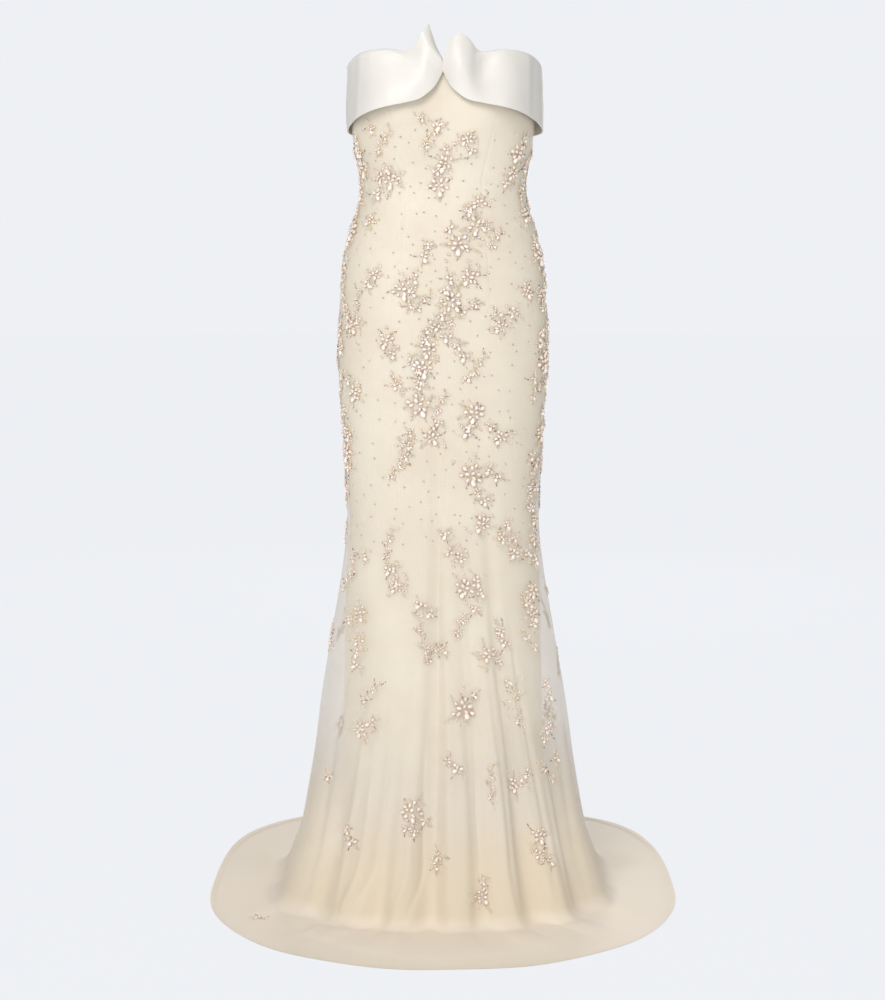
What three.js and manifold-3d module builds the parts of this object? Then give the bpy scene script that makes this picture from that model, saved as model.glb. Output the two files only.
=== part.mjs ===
// A strapless gown, filled out as worn: a fitted column with a beaded tulle overlay that spreads on
// the floor, an opaque lining skirt inside it, and a satin collar turned down over the top edge.
// Millimetres, +Z up, front towards -Y. The origin is the centre of the waist, where a wearer holds it.

import * as THREE from "three";
import Module from "manifold-3d";

const wasm = await Module();
wasm.setup();

// Driving dimensions
const WAIST_HEIGHT = 1122; // floor to waist
const TOP_HEIGHT = 1320.5; // floor to the bodice's top edge, at its highest
const KNEE_HEIGHT = 658; // floor to where the lining skirt hangs free of the tulle
const BEND_HEIGHT = 34; // the cloth turns from hanging to lying below this
const BEND_RUN = 26; // how far out that turn reaches along the floor
const GOWN_WALL = 2.4; // tulle mounted on its lining
const LINING_WALL = 1.6;
const SATIN_WALL = 2.2;
const SEAM_GAP = 0.3;
const DEGREE = Math.PI / 180;

// Outer face of the tulle, from the top edge down to the floor.
const GOWN_RINGS = [
  { height: 1318, half: 141.5, front: 102, back: 84.5 },
  { height: 1247, half: 142, front: 108, back: 88.5 },
  { height: 1185, half: 137, front: 99.5, back: 87 },
  { height: 1151, half: 129.5, front: 88, back: 82.5 },
  { height: 1122, half: 127, front: 83.5, back: 79.5 },
  { height: 1094, half: 131, front: 83.5, back: 84.5 },
  { height: 1055, half: 144, front: 88.5, back: 97.5 },
  { height: 1012, half: 154, front: 95.5, back: 111 },
  { height: 953, half: 160, front: 101.5, back: 123 },
  { height: 895, half: 163, front: 103, back: 125.5 },
  { height: 836, half: 163, front: 101, back: 118 },
  { height: 767, half: 157.5, front: 98.5, back: 106.5 },
  { height: 687, half: 153, front: 96, back: 101 },
  { height: 607, half: 151, front: 95, back: 103 },
  { height: 537, half: 158, front: 100.5, back: 121.5 },
  { height: 436, half: 175, front: 113, back: 166 },
  { height: 333, half: 192.5, front: 130.5, back: 210.5 },
  { height: 220, half: 207.5, front: 152, back: 258 },
  { height: 116, half: 227, front: 173, back: 304 },
  { height: 42, half: 251, front: 189, back: 339 },
  { height: 0, half: 266.5, front: 198.5, back: 358 },
];

// Outer face of the lining skirt. Where it is wider than the tulle, it follows the tulle.
const LINING_RINGS = [
  { height: 678, half: 168, front: 109, back: 118.5 },
  { height: 607, half: 154.5, front: 98, back: 105 },
  { height: 517, half: 153.5, front: 100.5, back: 109.5 },
  { height: 364, half: 157.5, front: 122, back: 134.5 },
  { height: 189, half: 162.5, front: 150.5, back: 167.5 },
  { height: 63, half: 167.5, front: 175.5, back: 195 },
  { height: 0, half: 171, front: 187, back: 209.5 },
];

// Outline of each hem where it lies on the floor.
const GOWN_HEM = { half: 373, front: 362, back: 442, frontFullness: 2.12, backFullness: 3.4 };
const LINING_HEM = { half: 216, front: 262, back: 296, frontFullness: 2, backFullness: 2 };

// Folds of the skirt: a positive depth stands out and a negative one sinks in. Each starts at a height
// and is deepest at the floor. Angles run from the centre front towards +X.
const GOWN_FOLDS = [
  { angle: -178, width: 13, depth: -16, start: 658 },
  { angle: -160, width: 12, depth: 13, start: 577 },
  { angle: -138, width: 12, depth: -14, start: 638 },
  { angle: -117, width: 12, depth: 11, start: 537 },
  { angle: -97, width: 9, depth: -7, start: 446 },
  { angle: -72, width: 11, depth: 6, start: 486 },
  { angle: -54, width: 8, depth: -8, start: 537 },
  { angle: -39, width: 9, depth: 10, start: 466 },
  { angle: -29, width: 7, depth: -8, start: 395 },
  { angle: -18, width: 10, depth: 8, start: 717 },
  { angle: -6, width: 10, depth: -13, start: 895 },
  { angle: 6, width: 10, depth: 8, start: 658 },
  { angle: 18, width: 8, depth: -8, start: 537 },
  { angle: 28, width: 9, depth: 8, start: 436 },
  { angle: 40, width: 8, depth: -13, start: 777 },
  { angle: 50, width: 7, depth: 11, start: 436 },
  { angle: 61, width: 8, depth: -9, start: 344 },
  { angle: 74, width: 10, depth: 8, start: 446 },
  { angle: 97, width: 9, depth: -7, start: 476 },
  { angle: 119, width: 12, depth: 12, start: 577 },
  { angle: 141, width: 12, depth: -13, start: 618 },
  { angle: 162, width: 12, depth: 14, start: 557 },
];
const LINING_FOLDS = [
  { angle: -165, width: 20, depth: -9, start: 517 },
  { angle: -125, width: 20, depth: 8, start: 476 },
  { angle: -88, width: 16, depth: -7, start: 446 },
  { angle: -61, width: 13, depth: 10, start: 436 },
  { angle: -39, width: 10, depth: -9, start: 415 },
  { angle: -22, width: 12, depth: 8, start: 537 },
  { angle: -6, width: 11, depth: -12, start: 618 },
  { angle: 7, width: 11, depth: 8, start: 537 },
  { angle: 20, width: 9, depth: -8, start: 476 },
  { angle: 32, width: 11, depth: 9, start: 436 },
  { angle: 48, width: 10, depth: -11, start: 517 },
  { angle: 64, width: 12, depth: 10, start: 415 },
  { angle: 95, width: 18, depth: -7, start: 446 },
  { angle: 135, width: 20, depth: 9, start: 476 },
  { angle: 172, width: 20, depth: -8, start: 517 },
];

// Bust cups, and how far the top edge dips at the centre front and below the arms.
const CUP = { angle: 34, spread: 21, height: 1245, reach: 44, depth: 13 };
const TOP_DIP = { centre: 26, centreSpread: 12, sides: 18, frontSpread: 20, backSpread: 38 };

// Turned-down collar. Its lower edge hangs below the collar's top by a drop that grows round the body.
const COLLAR_TOP = TOP_HEIGHT + 7;
const COLLAR_ROLL = 4.3; // inside radius of the turn over the top edge
// From bodice to collar, just below that turn and at the lower edge: in front, and at each side seam.
const COLLAR_STANDS = {
  front: { high: 6, low: 12 },
  left: { high: 5, low: 4.2 },
  right: { high: 7.5, low: 14 },
};
const COLLAR_BACK_GAP = 5.2; // degrees from the centre back to each end, where the zip shows
const COLLAR_DROPS = [
  { angle: 0, drop: 29.5 },
  { angle: 6, drop: 53.5 },
  { angle: 11, drop: 65.5 },
  { angle: 17, drop: 75 },
  { angle: 26, drop: 80.5 },
  { angle: 37, drop: 85.5 },
  { angle: 52, drop: 93.5 },
  { angle: 65, drop: 102.5 },
  { angle: 76, drop: 111.5 },
  { angle: 88, drop: 118.5 },
  { angle: 112, drop: 125.5 },
  { angle: 180, drop: 128.5 },
];
// Front end of each half, column by column from the centre: where its lower and upper ends lie, how far
// the upper end rises above the collar's top, how far both stand off, the belly between them, how much
// of the turn over the top edge the column has, and how its line bows (1 is straight).
const POINTED_PETAL = [
  { low: 1.1, high: 12.3, rise: 34.5, lowStand: 1.5, highStand: 9, belly: 2, turn: 0, bow: 0.6 },
  { low: 5, high: 15.6, rise: 23, lowStand: 6, highStand: 8, belly: 4, turn: 0, bow: 0.66 },
  { low: 10, high: 19.6, rise: 10.5, lowStand: 9, highStand: 7, belly: 5, turn: 0, bow: 0.72 },
  { low: 16, high: 24, rise: 3, lowStand: 11, highStand: 6, belly: 4, turn: 0.12, bow: 0.85 },
  { low: 23, high: 28.5, rise: 0.5, lowStand: 12, highStand: 6, belly: 2, turn: 0.42, bow: 1 },
  { low: 31, high: 35, rise: -0.5, lowStand: 12, highStand: 6, belly: 0, turn: 0.78, bow: 1 },
];
const ROUNDED_PETAL = [
  { low: 1.1, high: 5.2, rise: 10, lowStand: 1.5, highStand: 7, belly: 4, turn: 0, bow: 1 },
  { low: 5, high: 9, rise: 17.5, lowStand: 6, highStand: 9, belly: 8, turn: 0, bow: 1 },
  { low: 10, high: 13.5, rise: 20, lowStand: 9, highStand: 10, belly: 9, turn: 0, bow: 1 },
  { low: 16, high: 18.5, rise: 14.5, lowStand: 11, highStand: 9, belly: 7, turn: 0.06, bow: 1 },
  { low: 23, high: 23.5, rise: 3.5, lowStand: 12, highStand: 7, belly: 4, turn: 0.3, bow: 1 },
  { low: 31, high: 30.5, rise: -0.5, lowStand: 12, highStand: 6, belly: 1, turn: 0.74, bow: 1 },
];
const COLLAR_PLAIN_COLUMNS = 16;
const COLLAR_TURN_ROWS = 3;
const COLLAR_HANG_ROWS = 6;

// Beaded sprays, raised on the tulle. A flower has petals round a centre, and a leaf is a pointed oval.
const SPRAY_RISE = 3.4;
const SPRAY_ROOT = 1.4; // how deep each is set into the wall
const FRONT_SPRAYS = [
  { kind: "leaf", angle: -9, height: 1200, size: 22, turn: 60 },
  { kind: "flower", angle: 1, height: 1166, size: 14, turn: 10 },
  { kind: "flower", angle: -3, height: 1127, size: 16, turn: 30 },
  { kind: "leaf", angle: -47, height: 1188, size: 20, turn: 50 },
  { kind: "flower", angle: -48, height: 1135, size: 15, turn: 0 },
  { kind: "flower", angle: -74, height: 1154, size: 14, turn: 20 },
  { kind: "flower", angle: 63, height: 1177, size: 16, turn: 15 },
  { kind: "flower", angle: 31, height: 1066, size: 15, turn: 5 },
  { kind: "flower", angle: 15, height: 1039, size: 17, turn: 25 },
  { kind: "flower", angle: -33, height: 971, size: 16, turn: 35 },
  { kind: "flower", angle: 23, height: 990, size: 15, turn: 0 },
  { kind: "flower", angle: 7, height: 955, size: 17, turn: 15 },
  { kind: "leaf", angle: 14, height: 929, size: 22, turn: 40 },
  { kind: "flower", angle: -44, height: 895, size: 14, turn: 10 },
  { kind: "leaf", angle: -62, height: 940, size: 22, turn: 100 },
  { kind: "flower", angle: -17, height: 854, size: 16, turn: 30 },
  { kind: "flower", angle: -21, height: 799, size: 18, turn: 0 },
  { kind: "flower", angle: 27, height: 785, size: 16, turn: 20 },
  { kind: "flower", angle: 79, height: 1021, size: 17, turn: 10 },
  { kind: "flower", angle: 76, height: 858, size: 17, turn: 40 },
  { kind: "flower", angle: -79, height: 1056, size: 15, turn: 30 },
  { kind: "flower", angle: -78, height: 717, size: 16, turn: 5 },
  { kind: "flower", angle: 25, height: 691, size: 18, turn: 40 },
  { kind: "flower", angle: 34, height: 613, size: 15, turn: 10 },
  { kind: "flower", angle: 19, height: 515, size: 16, turn: 0 },
  { kind: "leaf", angle: -14, height: 440, size: 26, turn: 110 },
  { kind: "flower", angle: 13, height: 333, size: 18, turn: 45 },
  { kind: "leaf", angle: 48, height: 331, size: 28, turn: 90 },
  { kind: "flower", angle: -17, height: 180, size: 18, turn: 35 },
  { kind: "leaf", angle: 28, height: 216, size: 24, turn: 85 },
];
const BACK_SPRAYS = [
  { kind: "flower", angle: 112, height: 1145, size: 15, turn: 10 },
  { kind: "leaf", angle: 140, height: 1172, size: 22, turn: 60 },
  { kind: "flower", angle: 118, height: 1033, size: 16, turn: 0 },
  { kind: "flower", angle: 166, height: 965, size: 16, turn: 20 },
  { kind: "flower", angle: 128, height: 916, size: 17, turn: 45 },
  { kind: "flower", angle: 154, height: 828, size: 16, turn: 15 },
  { kind: "leaf", angle: 158, height: 682, size: 24, turn: 100 },
  { kind: "flower", angle: 152, height: 425, size: 17, turn: 25 },
  { kind: "leaf", angle: 112, height: 446, size: 24, turn: 70 },
  { kind: "flower", angle: 128, height: 261, size: 17, turn: 40 },
];

// Zip at the centre back, closed. Its pull tab hangs from a bridge on the slider.
const SLIDER = { width: 8, length: 11, thickness: 2.4, below: 8 };
const BRIDGE = { inner: 2.2, outer: 3.2, width: 2, stand: 1.1 };
const PULL = { width: 5.6, length: 21, thickness: 1, window: 3.2, windowLength: 3.9, bar: 0.55 };

// Value of each column of a table of rows at any key, smooth through the rows.
function readTable(table, keyName, key) {
  const rising = table[0][keyName] < table[table.length - 1][keyName];
  const rows = rising ? table : [...table].reverse();
  const clamped = Math.min(Math.max(key, rows[0][keyName]), rows[rows.length - 1][keyName]);
  let at = rows.findIndex((row) => row[keyName] >= clamped);
  at = Math.max(at, 1);
  const [a, b] = [rows[at - 1], rows[at]];
  const before = rows[at - 2] ?? a;
  const after = rows[at + 1] ?? b;
  const span = b[keyName] - a[keyName];
  const t = (clamped - a[keyName]) / span;
  const read = {};
  for (const name of Object.keys(a)) {
    if (typeof a[name] !== "number") continue;
    const slopeA = ((b[name] - before[name]) / (b[keyName] - before[keyName])) * span;
    const slopeB = ((after[name] - a[name]) / (after[keyName] - a[keyName])) * span;
    read[name] =
      (2 * t ** 3 - 3 * t ** 2 + 1) * a[name] +
      (t ** 3 - 2 * t ** 2 + t) * slopeA +
      (3 * t ** 2 - 2 * t ** 3) * b[name] +
      (t ** 3 - t ** 2) * slopeB;
  }
  return read;
}

function mix(a, b, t) {
  return a + (b - a) * t;
}

function smooth(t) {
  const held = Math.min(Math.max(t, 0), 1);
  return held * held * (3 - 2 * held);
}

// Distance from the axis to a full oval, at an angle from the centre front.
function ovalRadius(angle, { half, front, back }, frontFullness, backFullness) {
  const ahead = Math.cos(angle * DEGREE);
  const fullness = ahead > 0 ? frontFullness : backFullness;
  const across = Math.abs(Math.sin(angle * DEGREE)) / half;
  const along = Math.abs(ahead) / (ahead > 0 ? front : back);
  return (across ** fullness + along ** fullness) ** (-1 / fullness);
}

// Angle between two directions, from -180 to 180 degrees.
function turnBetween(a, b) {
  return ((((a - b + 180) % 360) + 360) % 360) - 180;
}

// How far the folds move the cloth in or out at an angle and a height.
function foldDepth(folds, angle, height) {
  let depth = 0;
  for (const fold of folds) {
    const away = Math.abs(turnBetween(angle, fold.angle)) / fold.width;
    if (away >= 1 || height >= fold.start) continue;
    const grown = 1 - Math.max(height, 0) / fold.start;
    depth += fold.depth * (0.5 + 0.5 * Math.cos(Math.PI * away)) * grown ** 1.2;
  }
  return depth;
}

function cupDepth(angle, height) {
  const away = (Math.abs(turnBetween(angle, 0)) - CUP.angle) / CUP.spread;
  const above = (height - CUP.height) / CUP.reach;
  return CUP.depth * Math.exp(-away * away - above * above);
}

const BODY_FULLNESS = 2.25;

// Inner face of the tulle.
function gownRadius(angle, height) {
  const ring = readTable(GOWN_RINGS, "height", height);
  const oval = ovalRadius(angle, ring, BODY_FULLNESS, BODY_FULLNESS);
  return oval - GOWN_WALL + cupDepth(angle, height) + foldDepth(GOWN_FOLDS, angle, height);
}

// Inner face of the lining skirt, always clear of the tulle outside it.
function liningRadius(angle, height) {
  const ring = readTable(LINING_RINGS, "height", height);
  const own = ovalRadius(angle, ring, BODY_FULLNESS, BODY_FULLNESS) + foldDepth(LINING_FOLDS, angle, height);
  const slack = 3.5 * smooth((KNEE_HEIGHT - height) / 120);
  return Math.min(own - LINING_WALL, gownRadius(angle, height) - LINING_WALL - SEAM_GAP - slack);
}

function hemRadius(angle, hem) {
  return ovalRadius(angle, hem, hem.frontFullness, hem.backFullness);
}

function topEdge(angle) {
  const fromCentre = turnBetween(angle, 0) / TOP_DIP.centreSpread;
  const fromSide = Math.abs(turnBetween(angle, 0)) - 90;
  const underArm = fromSide / (fromSide < 0 ? TOP_DIP.frontSpread : TOP_DIP.backSpread);
  const dip = TOP_DIP.centre * Math.exp(-fromCentre * fromCentre);
  return TOP_HEIGHT - dip - TOP_DIP.sides * Math.exp(-underArm * underArm);
}

// How high the tulle lies above the floor: over the lining's hem, and arched where a fold runs out.
function tulleLift(angle, radius) {
  const overLining = LINING_WALL + 2 * SEAM_GAP;
  const past = (radius - hemRadius(angle, LINING_HEM) - 40) / 30;
  const run = radius - gownRadius(angle, 0) - BEND_RUN;
  const arch = 0.45 * Math.max(foldDepth(GOWN_FOLDS, angle, 0), 0) * (1 - smooth(run / 85));
  return overLining * (1 - smooth(past)) + (Math.cos(angle * DEGREE) > 0 ? arch : 0);
}

const tulle = { radius: gownRadius, hem: GOWN_HEM, lift: tulleLift };
const lining = { radius: liningRadius, hem: LINING_HEM, lift: () => 0 };

// A row of a layer is one of: a height where it hangs, a part of the turn, or a share of the floor.
function hanging(height) {
  return { height };
}

function evenly(from, to, steps) {
  return Array.from({ length: steps }, (_, step) => mix(from, to, step / steps));
}

const TURN_ROWS = [0.4, 0.75, 1].map((turn) => ({ turn }));
const GOWN_ROWS = [
  ...evenly(TOP_HEIGHT, WAIST_HEIGHT, 6).map(hanging),
  ...evenly(WAIST_HEIGHT, 960, 4).map(hanging),
  ...evenly(960, 610, 5).map(hanging),
  ...evenly(610, 110, 6).map(hanging),
  ...[110, 66, BEND_HEIGHT].map(hanging),
  ...TURN_ROWS,
  ...[0.4, 1].map((spread) => ({ spread })),
];
const LINING_ROWS = [
  ...evenly(KNEE_HEIGHT, 610, 1).map(hanging),
  ...evenly(610, 110, 5).map(hanging),
  ...[110, 66, BEND_HEIGHT].map(hanging),
  ...TURN_ROWS,
  ...[0.5, 1].map((spread) => ({ spread })),
];

function place(angle, radius, height) {
  const turned = angle * DEGREE;
  return new THREE.Vector3(
    radius * Math.sin(turned),
    -radius * Math.cos(turned),
    height - WAIST_HEIGHT,
  );
}

// Point of a layer's inner face.
function layerPoint(layer, angle, row) {
  if (row.height !== undefined) {
    const stretch = (topEdge(angle) - WAIST_HEIGHT) / (TOP_HEIGHT - WAIST_HEIGHT);
    const above = Math.max(row.height - WAIST_HEIGHT, 0);
    const height = row.height - above + above * stretch;
    return place(angle, layer.radius(angle, height), height);
  }
  const start = layer.radius(angle, BEND_HEIGHT);
  const foot = layer.radius(angle, 0);
  const landing = foot + BEND_RUN;
  if (row.turn !== undefined) {
    const t = row.turn;
    const radius = (1 - t) ** 2 * start + 2 * t * (1 - t) * foot + t * t * landing;
    return place(angle, radius, (1 - t) ** 2 * BEND_HEIGHT + t * t * layer.lift(angle, landing));
  }
  const radius = mix(landing, hemRadius(angle, layer.hem), row.spread);
  return place(angle, radius, layer.lift(angle, radius));
}

// Outward direction of a layer at one row of its list.
function layerNormal(layer, angle, rows, index) {
  const around = layerPoint(layer, angle + 0.5, rows[index]).sub(layerPoint(layer, angle - 0.5, rows[index]));
  const next = layerPoint(layer, angle, rows[Math.min(index + 1, rows.length - 1)]);
  const down = next.sub(layerPoint(layer, angle, rows[Math.max(index - 1, 0)]));
  return down.cross(around).normalize();
}

// Closed wall between two grids of points, listed by row and column.
function wallMesh(inner, outer) {
  const rows = inner.length;
  const columns = inner[0].length;
  const points = [...inner.flat(), ...outer.flat()];
  const faces = [];
  const at = (side, row, column) => (side * rows + row) * columns + column;
  const quad = (a, b, c, d) => faces.push(a, b, c, a, c, d);
  for (let row = 0; row < rows - 1; row++)
    for (let column = 0; column < columns - 1; column++) {
      const corners = (side) => [
        at(side, row, column),
        at(side, row + 1, column),
        at(side, row + 1, column + 1),
        at(side, row, column + 1),
      ];
      quad(...corners(1));
      quad(...corners(0).reverse());
    }
  for (let column = 0; column < columns - 1; column++) {
    quad(at(0, 0, column), at(1, 0, column), at(1, 0, column + 1), at(0, 0, column + 1));
    const last = rows - 1;
    quad(at(1, last, column), at(0, last, column), at(0, last, column + 1), at(1, last, column + 1));
  }
  for (let row = 0; row < rows - 1; row++) {
    quad(at(0, row, 0), at(0, row + 1, 0), at(1, row + 1, 0), at(1, row, 0));
    const last = columns - 1;
    quad(at(1, row, last), at(1, row + 1, last), at(0, row + 1, last), at(0, row, last));
  }
  return { points, faces };
}

function solidOf({ points, faces }) {
  return new wasm.Manifold(
    new wasm.Mesh({
      numProp: 3,
      vertProperties: new Float32Array(points.flatMap((p) => [p.x, p.y, p.z])),
      triVerts: new Uint32Array(faces),
    }),
  );
}

function geometryOf(solid) {
  const { vertProperties, triVerts } = solid.getMesh();
  const geometry = new THREE.BufferGeometry();
  geometry.setAttribute("position", new THREE.BufferAttribute(new Float32Array(vertProperties), 3));
  geometry.setIndex(new THREE.BufferAttribute(new Uint32Array(triVerts), 1));
  geometry.computeVertexNormals();
  return geometry;
}

// One panel of a layer between two seams. Each seam keeps its edge in a plane: x or y equal to a value.
function panel(layer, rows, wall, from, to, columns, seams) {
  const inner = rows.map(() => []);
  const outer = rows.map(() => []);
  rows.forEach((row, index) => {
    for (let column = 0; column <= columns; column++) {
      const angle = mix(from, to, column / columns);
      const point = layerPoint(layer, angle, row);
      const lifted = point.clone().addScaledVector(layerNormal(layer, angle, rows, index), wall);
      const seam = column === 0 ? seams[0] : column === columns ? seams[1] : null;
      if (seam) {
        point[seam.axis] = seam.value;
        lifted[seam.axis] = seam.value;
      }
      inner[index].push(point);
      outer[index].push(lifted);
    }
  });
  const heights = rows.map((row) => row.height ?? 0);
  return { ...wallMesh(inner, outer), inner, outer, from, to, heights };
}

const FRONT_SEAM = { axis: "y", value: -SEAM_GAP / 2 };
const BACK_SEAM = { axis: "y", value: SEAM_GAP / 2 };
const ZIP_SEAM_LEFT = { axis: "x", value: -SEAM_GAP / 2 };
const ZIP_SEAM_RIGHT = { axis: "x", value: SEAM_GAP / 2 };

// Outline of a spray in its own plane, across and up.
function sprayOutline({ kind, size, turn }) {
  const shape =
    kind === "flower"
      ? Array.from({ length: 10 }, (_, k) => [k * 36, k % 2 ? size * 0.6 : size])
      : [0, 28, 152, 180, 208, 332].map((bearing, k) => [bearing, k % 3 ? size * 0.46 : size]);
  return shape.map(([bearing, reach]) => {
    const direction = (bearing + turn) * DEGREE;
    return [reach * Math.cos(direction), reach * Math.sin(direction)];
  });
}

// Point off a panel's outer face at an angle and a height, found between its own corners.
function pointOn({ inner, outer, from, to, heights }, angle, height, rise) {
  const across = ((angle - from) / (to - from)) * (inner[0].length - 1);
  const column = Math.min(Math.max(Math.floor(across), 0), inner[0].length - 2);
  const row = Math.max(heights.findIndex((next) => next < height), 1) - 1;
  const down = (heights[row] - height) / (heights[row] - heights[row + 1]);
  const between = (grid) => {
    const [a, b] = [grid[row][column].clone(), grid[row + 1][column].clone()];
    a.lerp(grid[row][column + 1], across - column);
    b.lerp(grid[row + 1][column + 1], across - column);
    return a.lerp(b, down);
  };
  const face = between(outer);
  const outward = face.clone().sub(between(inner)).normalize();
  return face.addScaledVector(outward, rise);
}

// Raised solid of one spray, set into its panel's outer face.
function spraySolid(spray, onPanel) {
  const middle = gownRadius(spray.angle, spray.height);
  const standing = (across, up, rise) =>
    pointOn(onPanel, spray.angle + across / middle / DEGREE, spray.height + up, rise);
  const outline = sprayOutline(spray);
  const count = outline.length;
  const root = outline.map(([across, up]) => standing(across, up, -SPRAY_ROOT));
  const rim = outline.map(([across, up]) => standing(across * 0.86, up * 0.86, SPRAY_RISE * 0.7));
  const heart = standing(0, 0, -0.8 * GOWN_WALL);
  const points = [...root, ...rim, heart, standing(0, 0, SPRAY_RISE)];
  const faces = [];
  for (let k = 0; k < count; k++) {
    const next = (k + 1) % count;
    faces.push(k, next, count + next, k, count + next, count + k);
    faces.push(2 * count, next, k, 2 * count + 1, count + k, count + next);
  }
  return solidOf({ points, faces });
}

function beaded(onPanel, sprays) {
  return sprays.reduce((solid, spray) => solid.add(spraySolid(spray, onPanel)), solidOf(onPanel));
}

// Point of the collar's inner face on one column. Side is 1 towards +X and -1 towards -X.
function collarPoint(side, column, row) {
  const rows = COLLAR_TURN_ROWS + COLLAR_HANG_ROWS;
  const lowHeight = COLLAR_TOP - readTable(COLLAR_DROPS, "angle", column.low).drop;
  const bodice = (angle, height) => {
    const held = Math.min(height, topEdge(angle));
    return gownRadius(side * angle, held) + GOWN_WALL;
  };
  const share = row / rows;
  const freeAngle = mix(column.high, column.low, share ** column.bow);
  const freeHeight = mix(COLLAR_TOP + column.rise, lowHeight, share);
  const stand = mix(column.highStand, column.lowStand, share) + column.belly * Math.sin(Math.PI * share);
  const free = place(side * freeAngle, bodice(freeAngle, freeHeight) + stand, freeHeight);

  const edge = topEdge(column.high);
  const turnRadius = bodice(column.high, edge) - GOWN_WALL + SEAM_GAP;
  if (row < COLLAR_TURN_ROWS) {
    const over = Math.PI * (1 - row / COLLAR_TURN_ROWS);
    const radius = turnRadius + COLLAR_ROLL * (1 + Math.cos(over));
    const height = edge + SEAM_GAP + COLLAR_ROLL * Math.sin(over);
    return free.lerp(place(side * column.high, radius, height), column.turn);
  }
  const fall = (row - COLLAR_TURN_ROWS) / COLLAR_HANG_ROWS;
  const angle = mix(column.high, column.low, fall);
  const height = mix(edge + SEAM_GAP, lowHeight, fall);
  const atSide = side > 0 ? COLLAR_STANDS.right : COLLAR_STANDS.left;
  const turned = Math.sin(angle * DEGREE) ** 2;
  const inFront = mix(COLLAR_STANDS.front.high, COLLAR_STANDS.front.low, fall);
  const radius = bodice(angle, height) + mix(inFront, mix(atSide.high, atSide.low, fall), turned);
  return free.lerp(place(side * angle, radius, height), column.turn);
}

function collarMesh(side, petal) {
  const lastPetal = petal[petal.length - 1];
  const backEnd = 180 - COLLAR_BACK_GAP;
  const plain = Array.from({ length: COLLAR_PLAIN_COLUMNS }, (_, k) => {
    const share = (k + 1) / COLLAR_PLAIN_COLUMNS;
    const low = mix(lastPetal.low, backEnd, share);
    const high = mix(lastPetal.high, backEnd, share);
    return { low, high, rise: 0, lowStand: 12, highStand: 6, belly: 0, turn: 1, bow: 1 };
  });
  const columns = [...petal, ...plain];
  const rows = COLLAR_TURN_ROWS + COLLAR_HANG_ROWS;
  const inner = [];
  for (let row = 0; row <= rows; row++)
    inner.push(columns.map((column) => collarPoint(side, column, row)));
  const held = (value, last) => Math.min(Math.max(value, 0), last);
  const outer = inner.map((points, row) =>
    points.map((point, column) => {
      const last = columns.length - 1;
      const around = points[held(column + 1, last)].clone().sub(points[held(column - 1, last)]);
      const down = inner[held(row + 1, rows)][column].clone().sub(inner[held(row - 1, rows)][column]);
      const outward = down.cross(around).multiplyScalar(side).normalize();
      return point.clone().addScaledVector(outward, SATIN_WALL);
    }),
  );
  return side > 0
    ? wallMesh(inner, outer)
    : wallMesh(inner.map((line) => line.reverse()), outer.map((line) => line.reverse()));
}

// Closed zip slider with its bridge, standing just off the back panels.
function zipParts() {
  const height = topEdge(180) - SLIDER.below;
  const face = gownRadius(180, height) + GOWN_WALL + 3 * SEAM_GAP;
  const plate = new THREE.Shape();
  plate.moveTo(-SLIDER.width / 2, SLIDER.length / 2);
  plate.lineTo(-SLIDER.width / 3, -SLIDER.length / 2);
  plate.lineTo(SLIDER.width / 3, -SLIDER.length / 2);
  plate.lineTo(SLIDER.width / 2, SLIDER.length / 2);
  const body = solidFromShape(plate, SLIDER.thickness);
  const arch = new THREE.Shape();
  arch.absarc(0, 0, BRIDGE.outer, Math.PI, 0, true);
  arch.lineTo(BRIDGE.outer, -BRIDGE.stand - 1);
  arch.lineTo(BRIDGE.inner, -BRIDGE.stand - 1);
  arch.lineTo(BRIDGE.inner, 0);
  arch.absarc(0, 0, BRIDGE.inner, 0, Math.PI, false);
  arch.lineTo(-BRIDGE.inner, -BRIDGE.stand - 1);
  arch.lineTo(-BRIDGE.outer, -BRIDGE.stand - 1);
  const bridge = solidFromShape(arch, BRIDGE.width);
  const tab = new THREE.Shape();
  tab.moveTo(-PULL.window / 2 - PULL.bar, PULL.bar);
  tab.lineTo(-PULL.width / 2, -PULL.length * 0.72);
  tab.absarc(0, -PULL.length * 0.72, PULL.width / 2, Math.PI, 2 * Math.PI, false);
  tab.lineTo(PULL.window / 2 + PULL.bar, PULL.bar);
  const window = new THREE.Path();
  window.moveTo(-PULL.window / 2, -PULL.bar);
  window.lineTo(PULL.window / 2, -PULL.bar);
  window.lineTo(PULL.window / 2, -PULL.bar - PULL.windowLength);
  window.lineTo(-PULL.window / 2, -PULL.bar - PULL.windowLength);
  tab.holes.push(window);
  const pull = solidFromShape(tab, PULL.thickness);

  // The shapes are drawn across and up, and thicken towards +Y once they stand.
  const axis = face + SLIDER.thickness + BRIDGE.stand;
  const up = height - WAIST_HEIGHT;
  const stood = body.rotate([90, 0, 0]).translate([0, face + SLIDER.thickness, up]);
  const ridge = bridge.rotate([0, 90, 0]).translate([-BRIDGE.width / 2, axis, up]);
  const hung = pull.rotate([90, 0, 0]).translate([0, axis + PULL.thickness / 2, up]);
  return { slider: stood.add(ridge), pull: hung };
}

// Solid of a flat shape with a thickness, from three.js's own extrusion.
function solidFromShape(shape, depth) {
  const geometry = new THREE.ExtrudeGeometry(shape, { depth, bevelEnabled: false, curveSegments: 8 });
  const positions = geometry.getAttribute("position");
  const points = [];
  const seen = new Map();
  const faces = [];
  for (let k = 0; k < positions.count; k++) {
    const point = new THREE.Vector3().fromBufferAttribute(positions, k);
    const key = point.toArray().map((value) => value.toFixed(4)).join();
    if (!seen.has(key)) {
      seen.set(key, points.length);
      points.push(point);
    }
    faces.push(seen.get(key));
  }
  return solidOf({ points, faces });
}

const gown = new THREE.Group();

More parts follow.
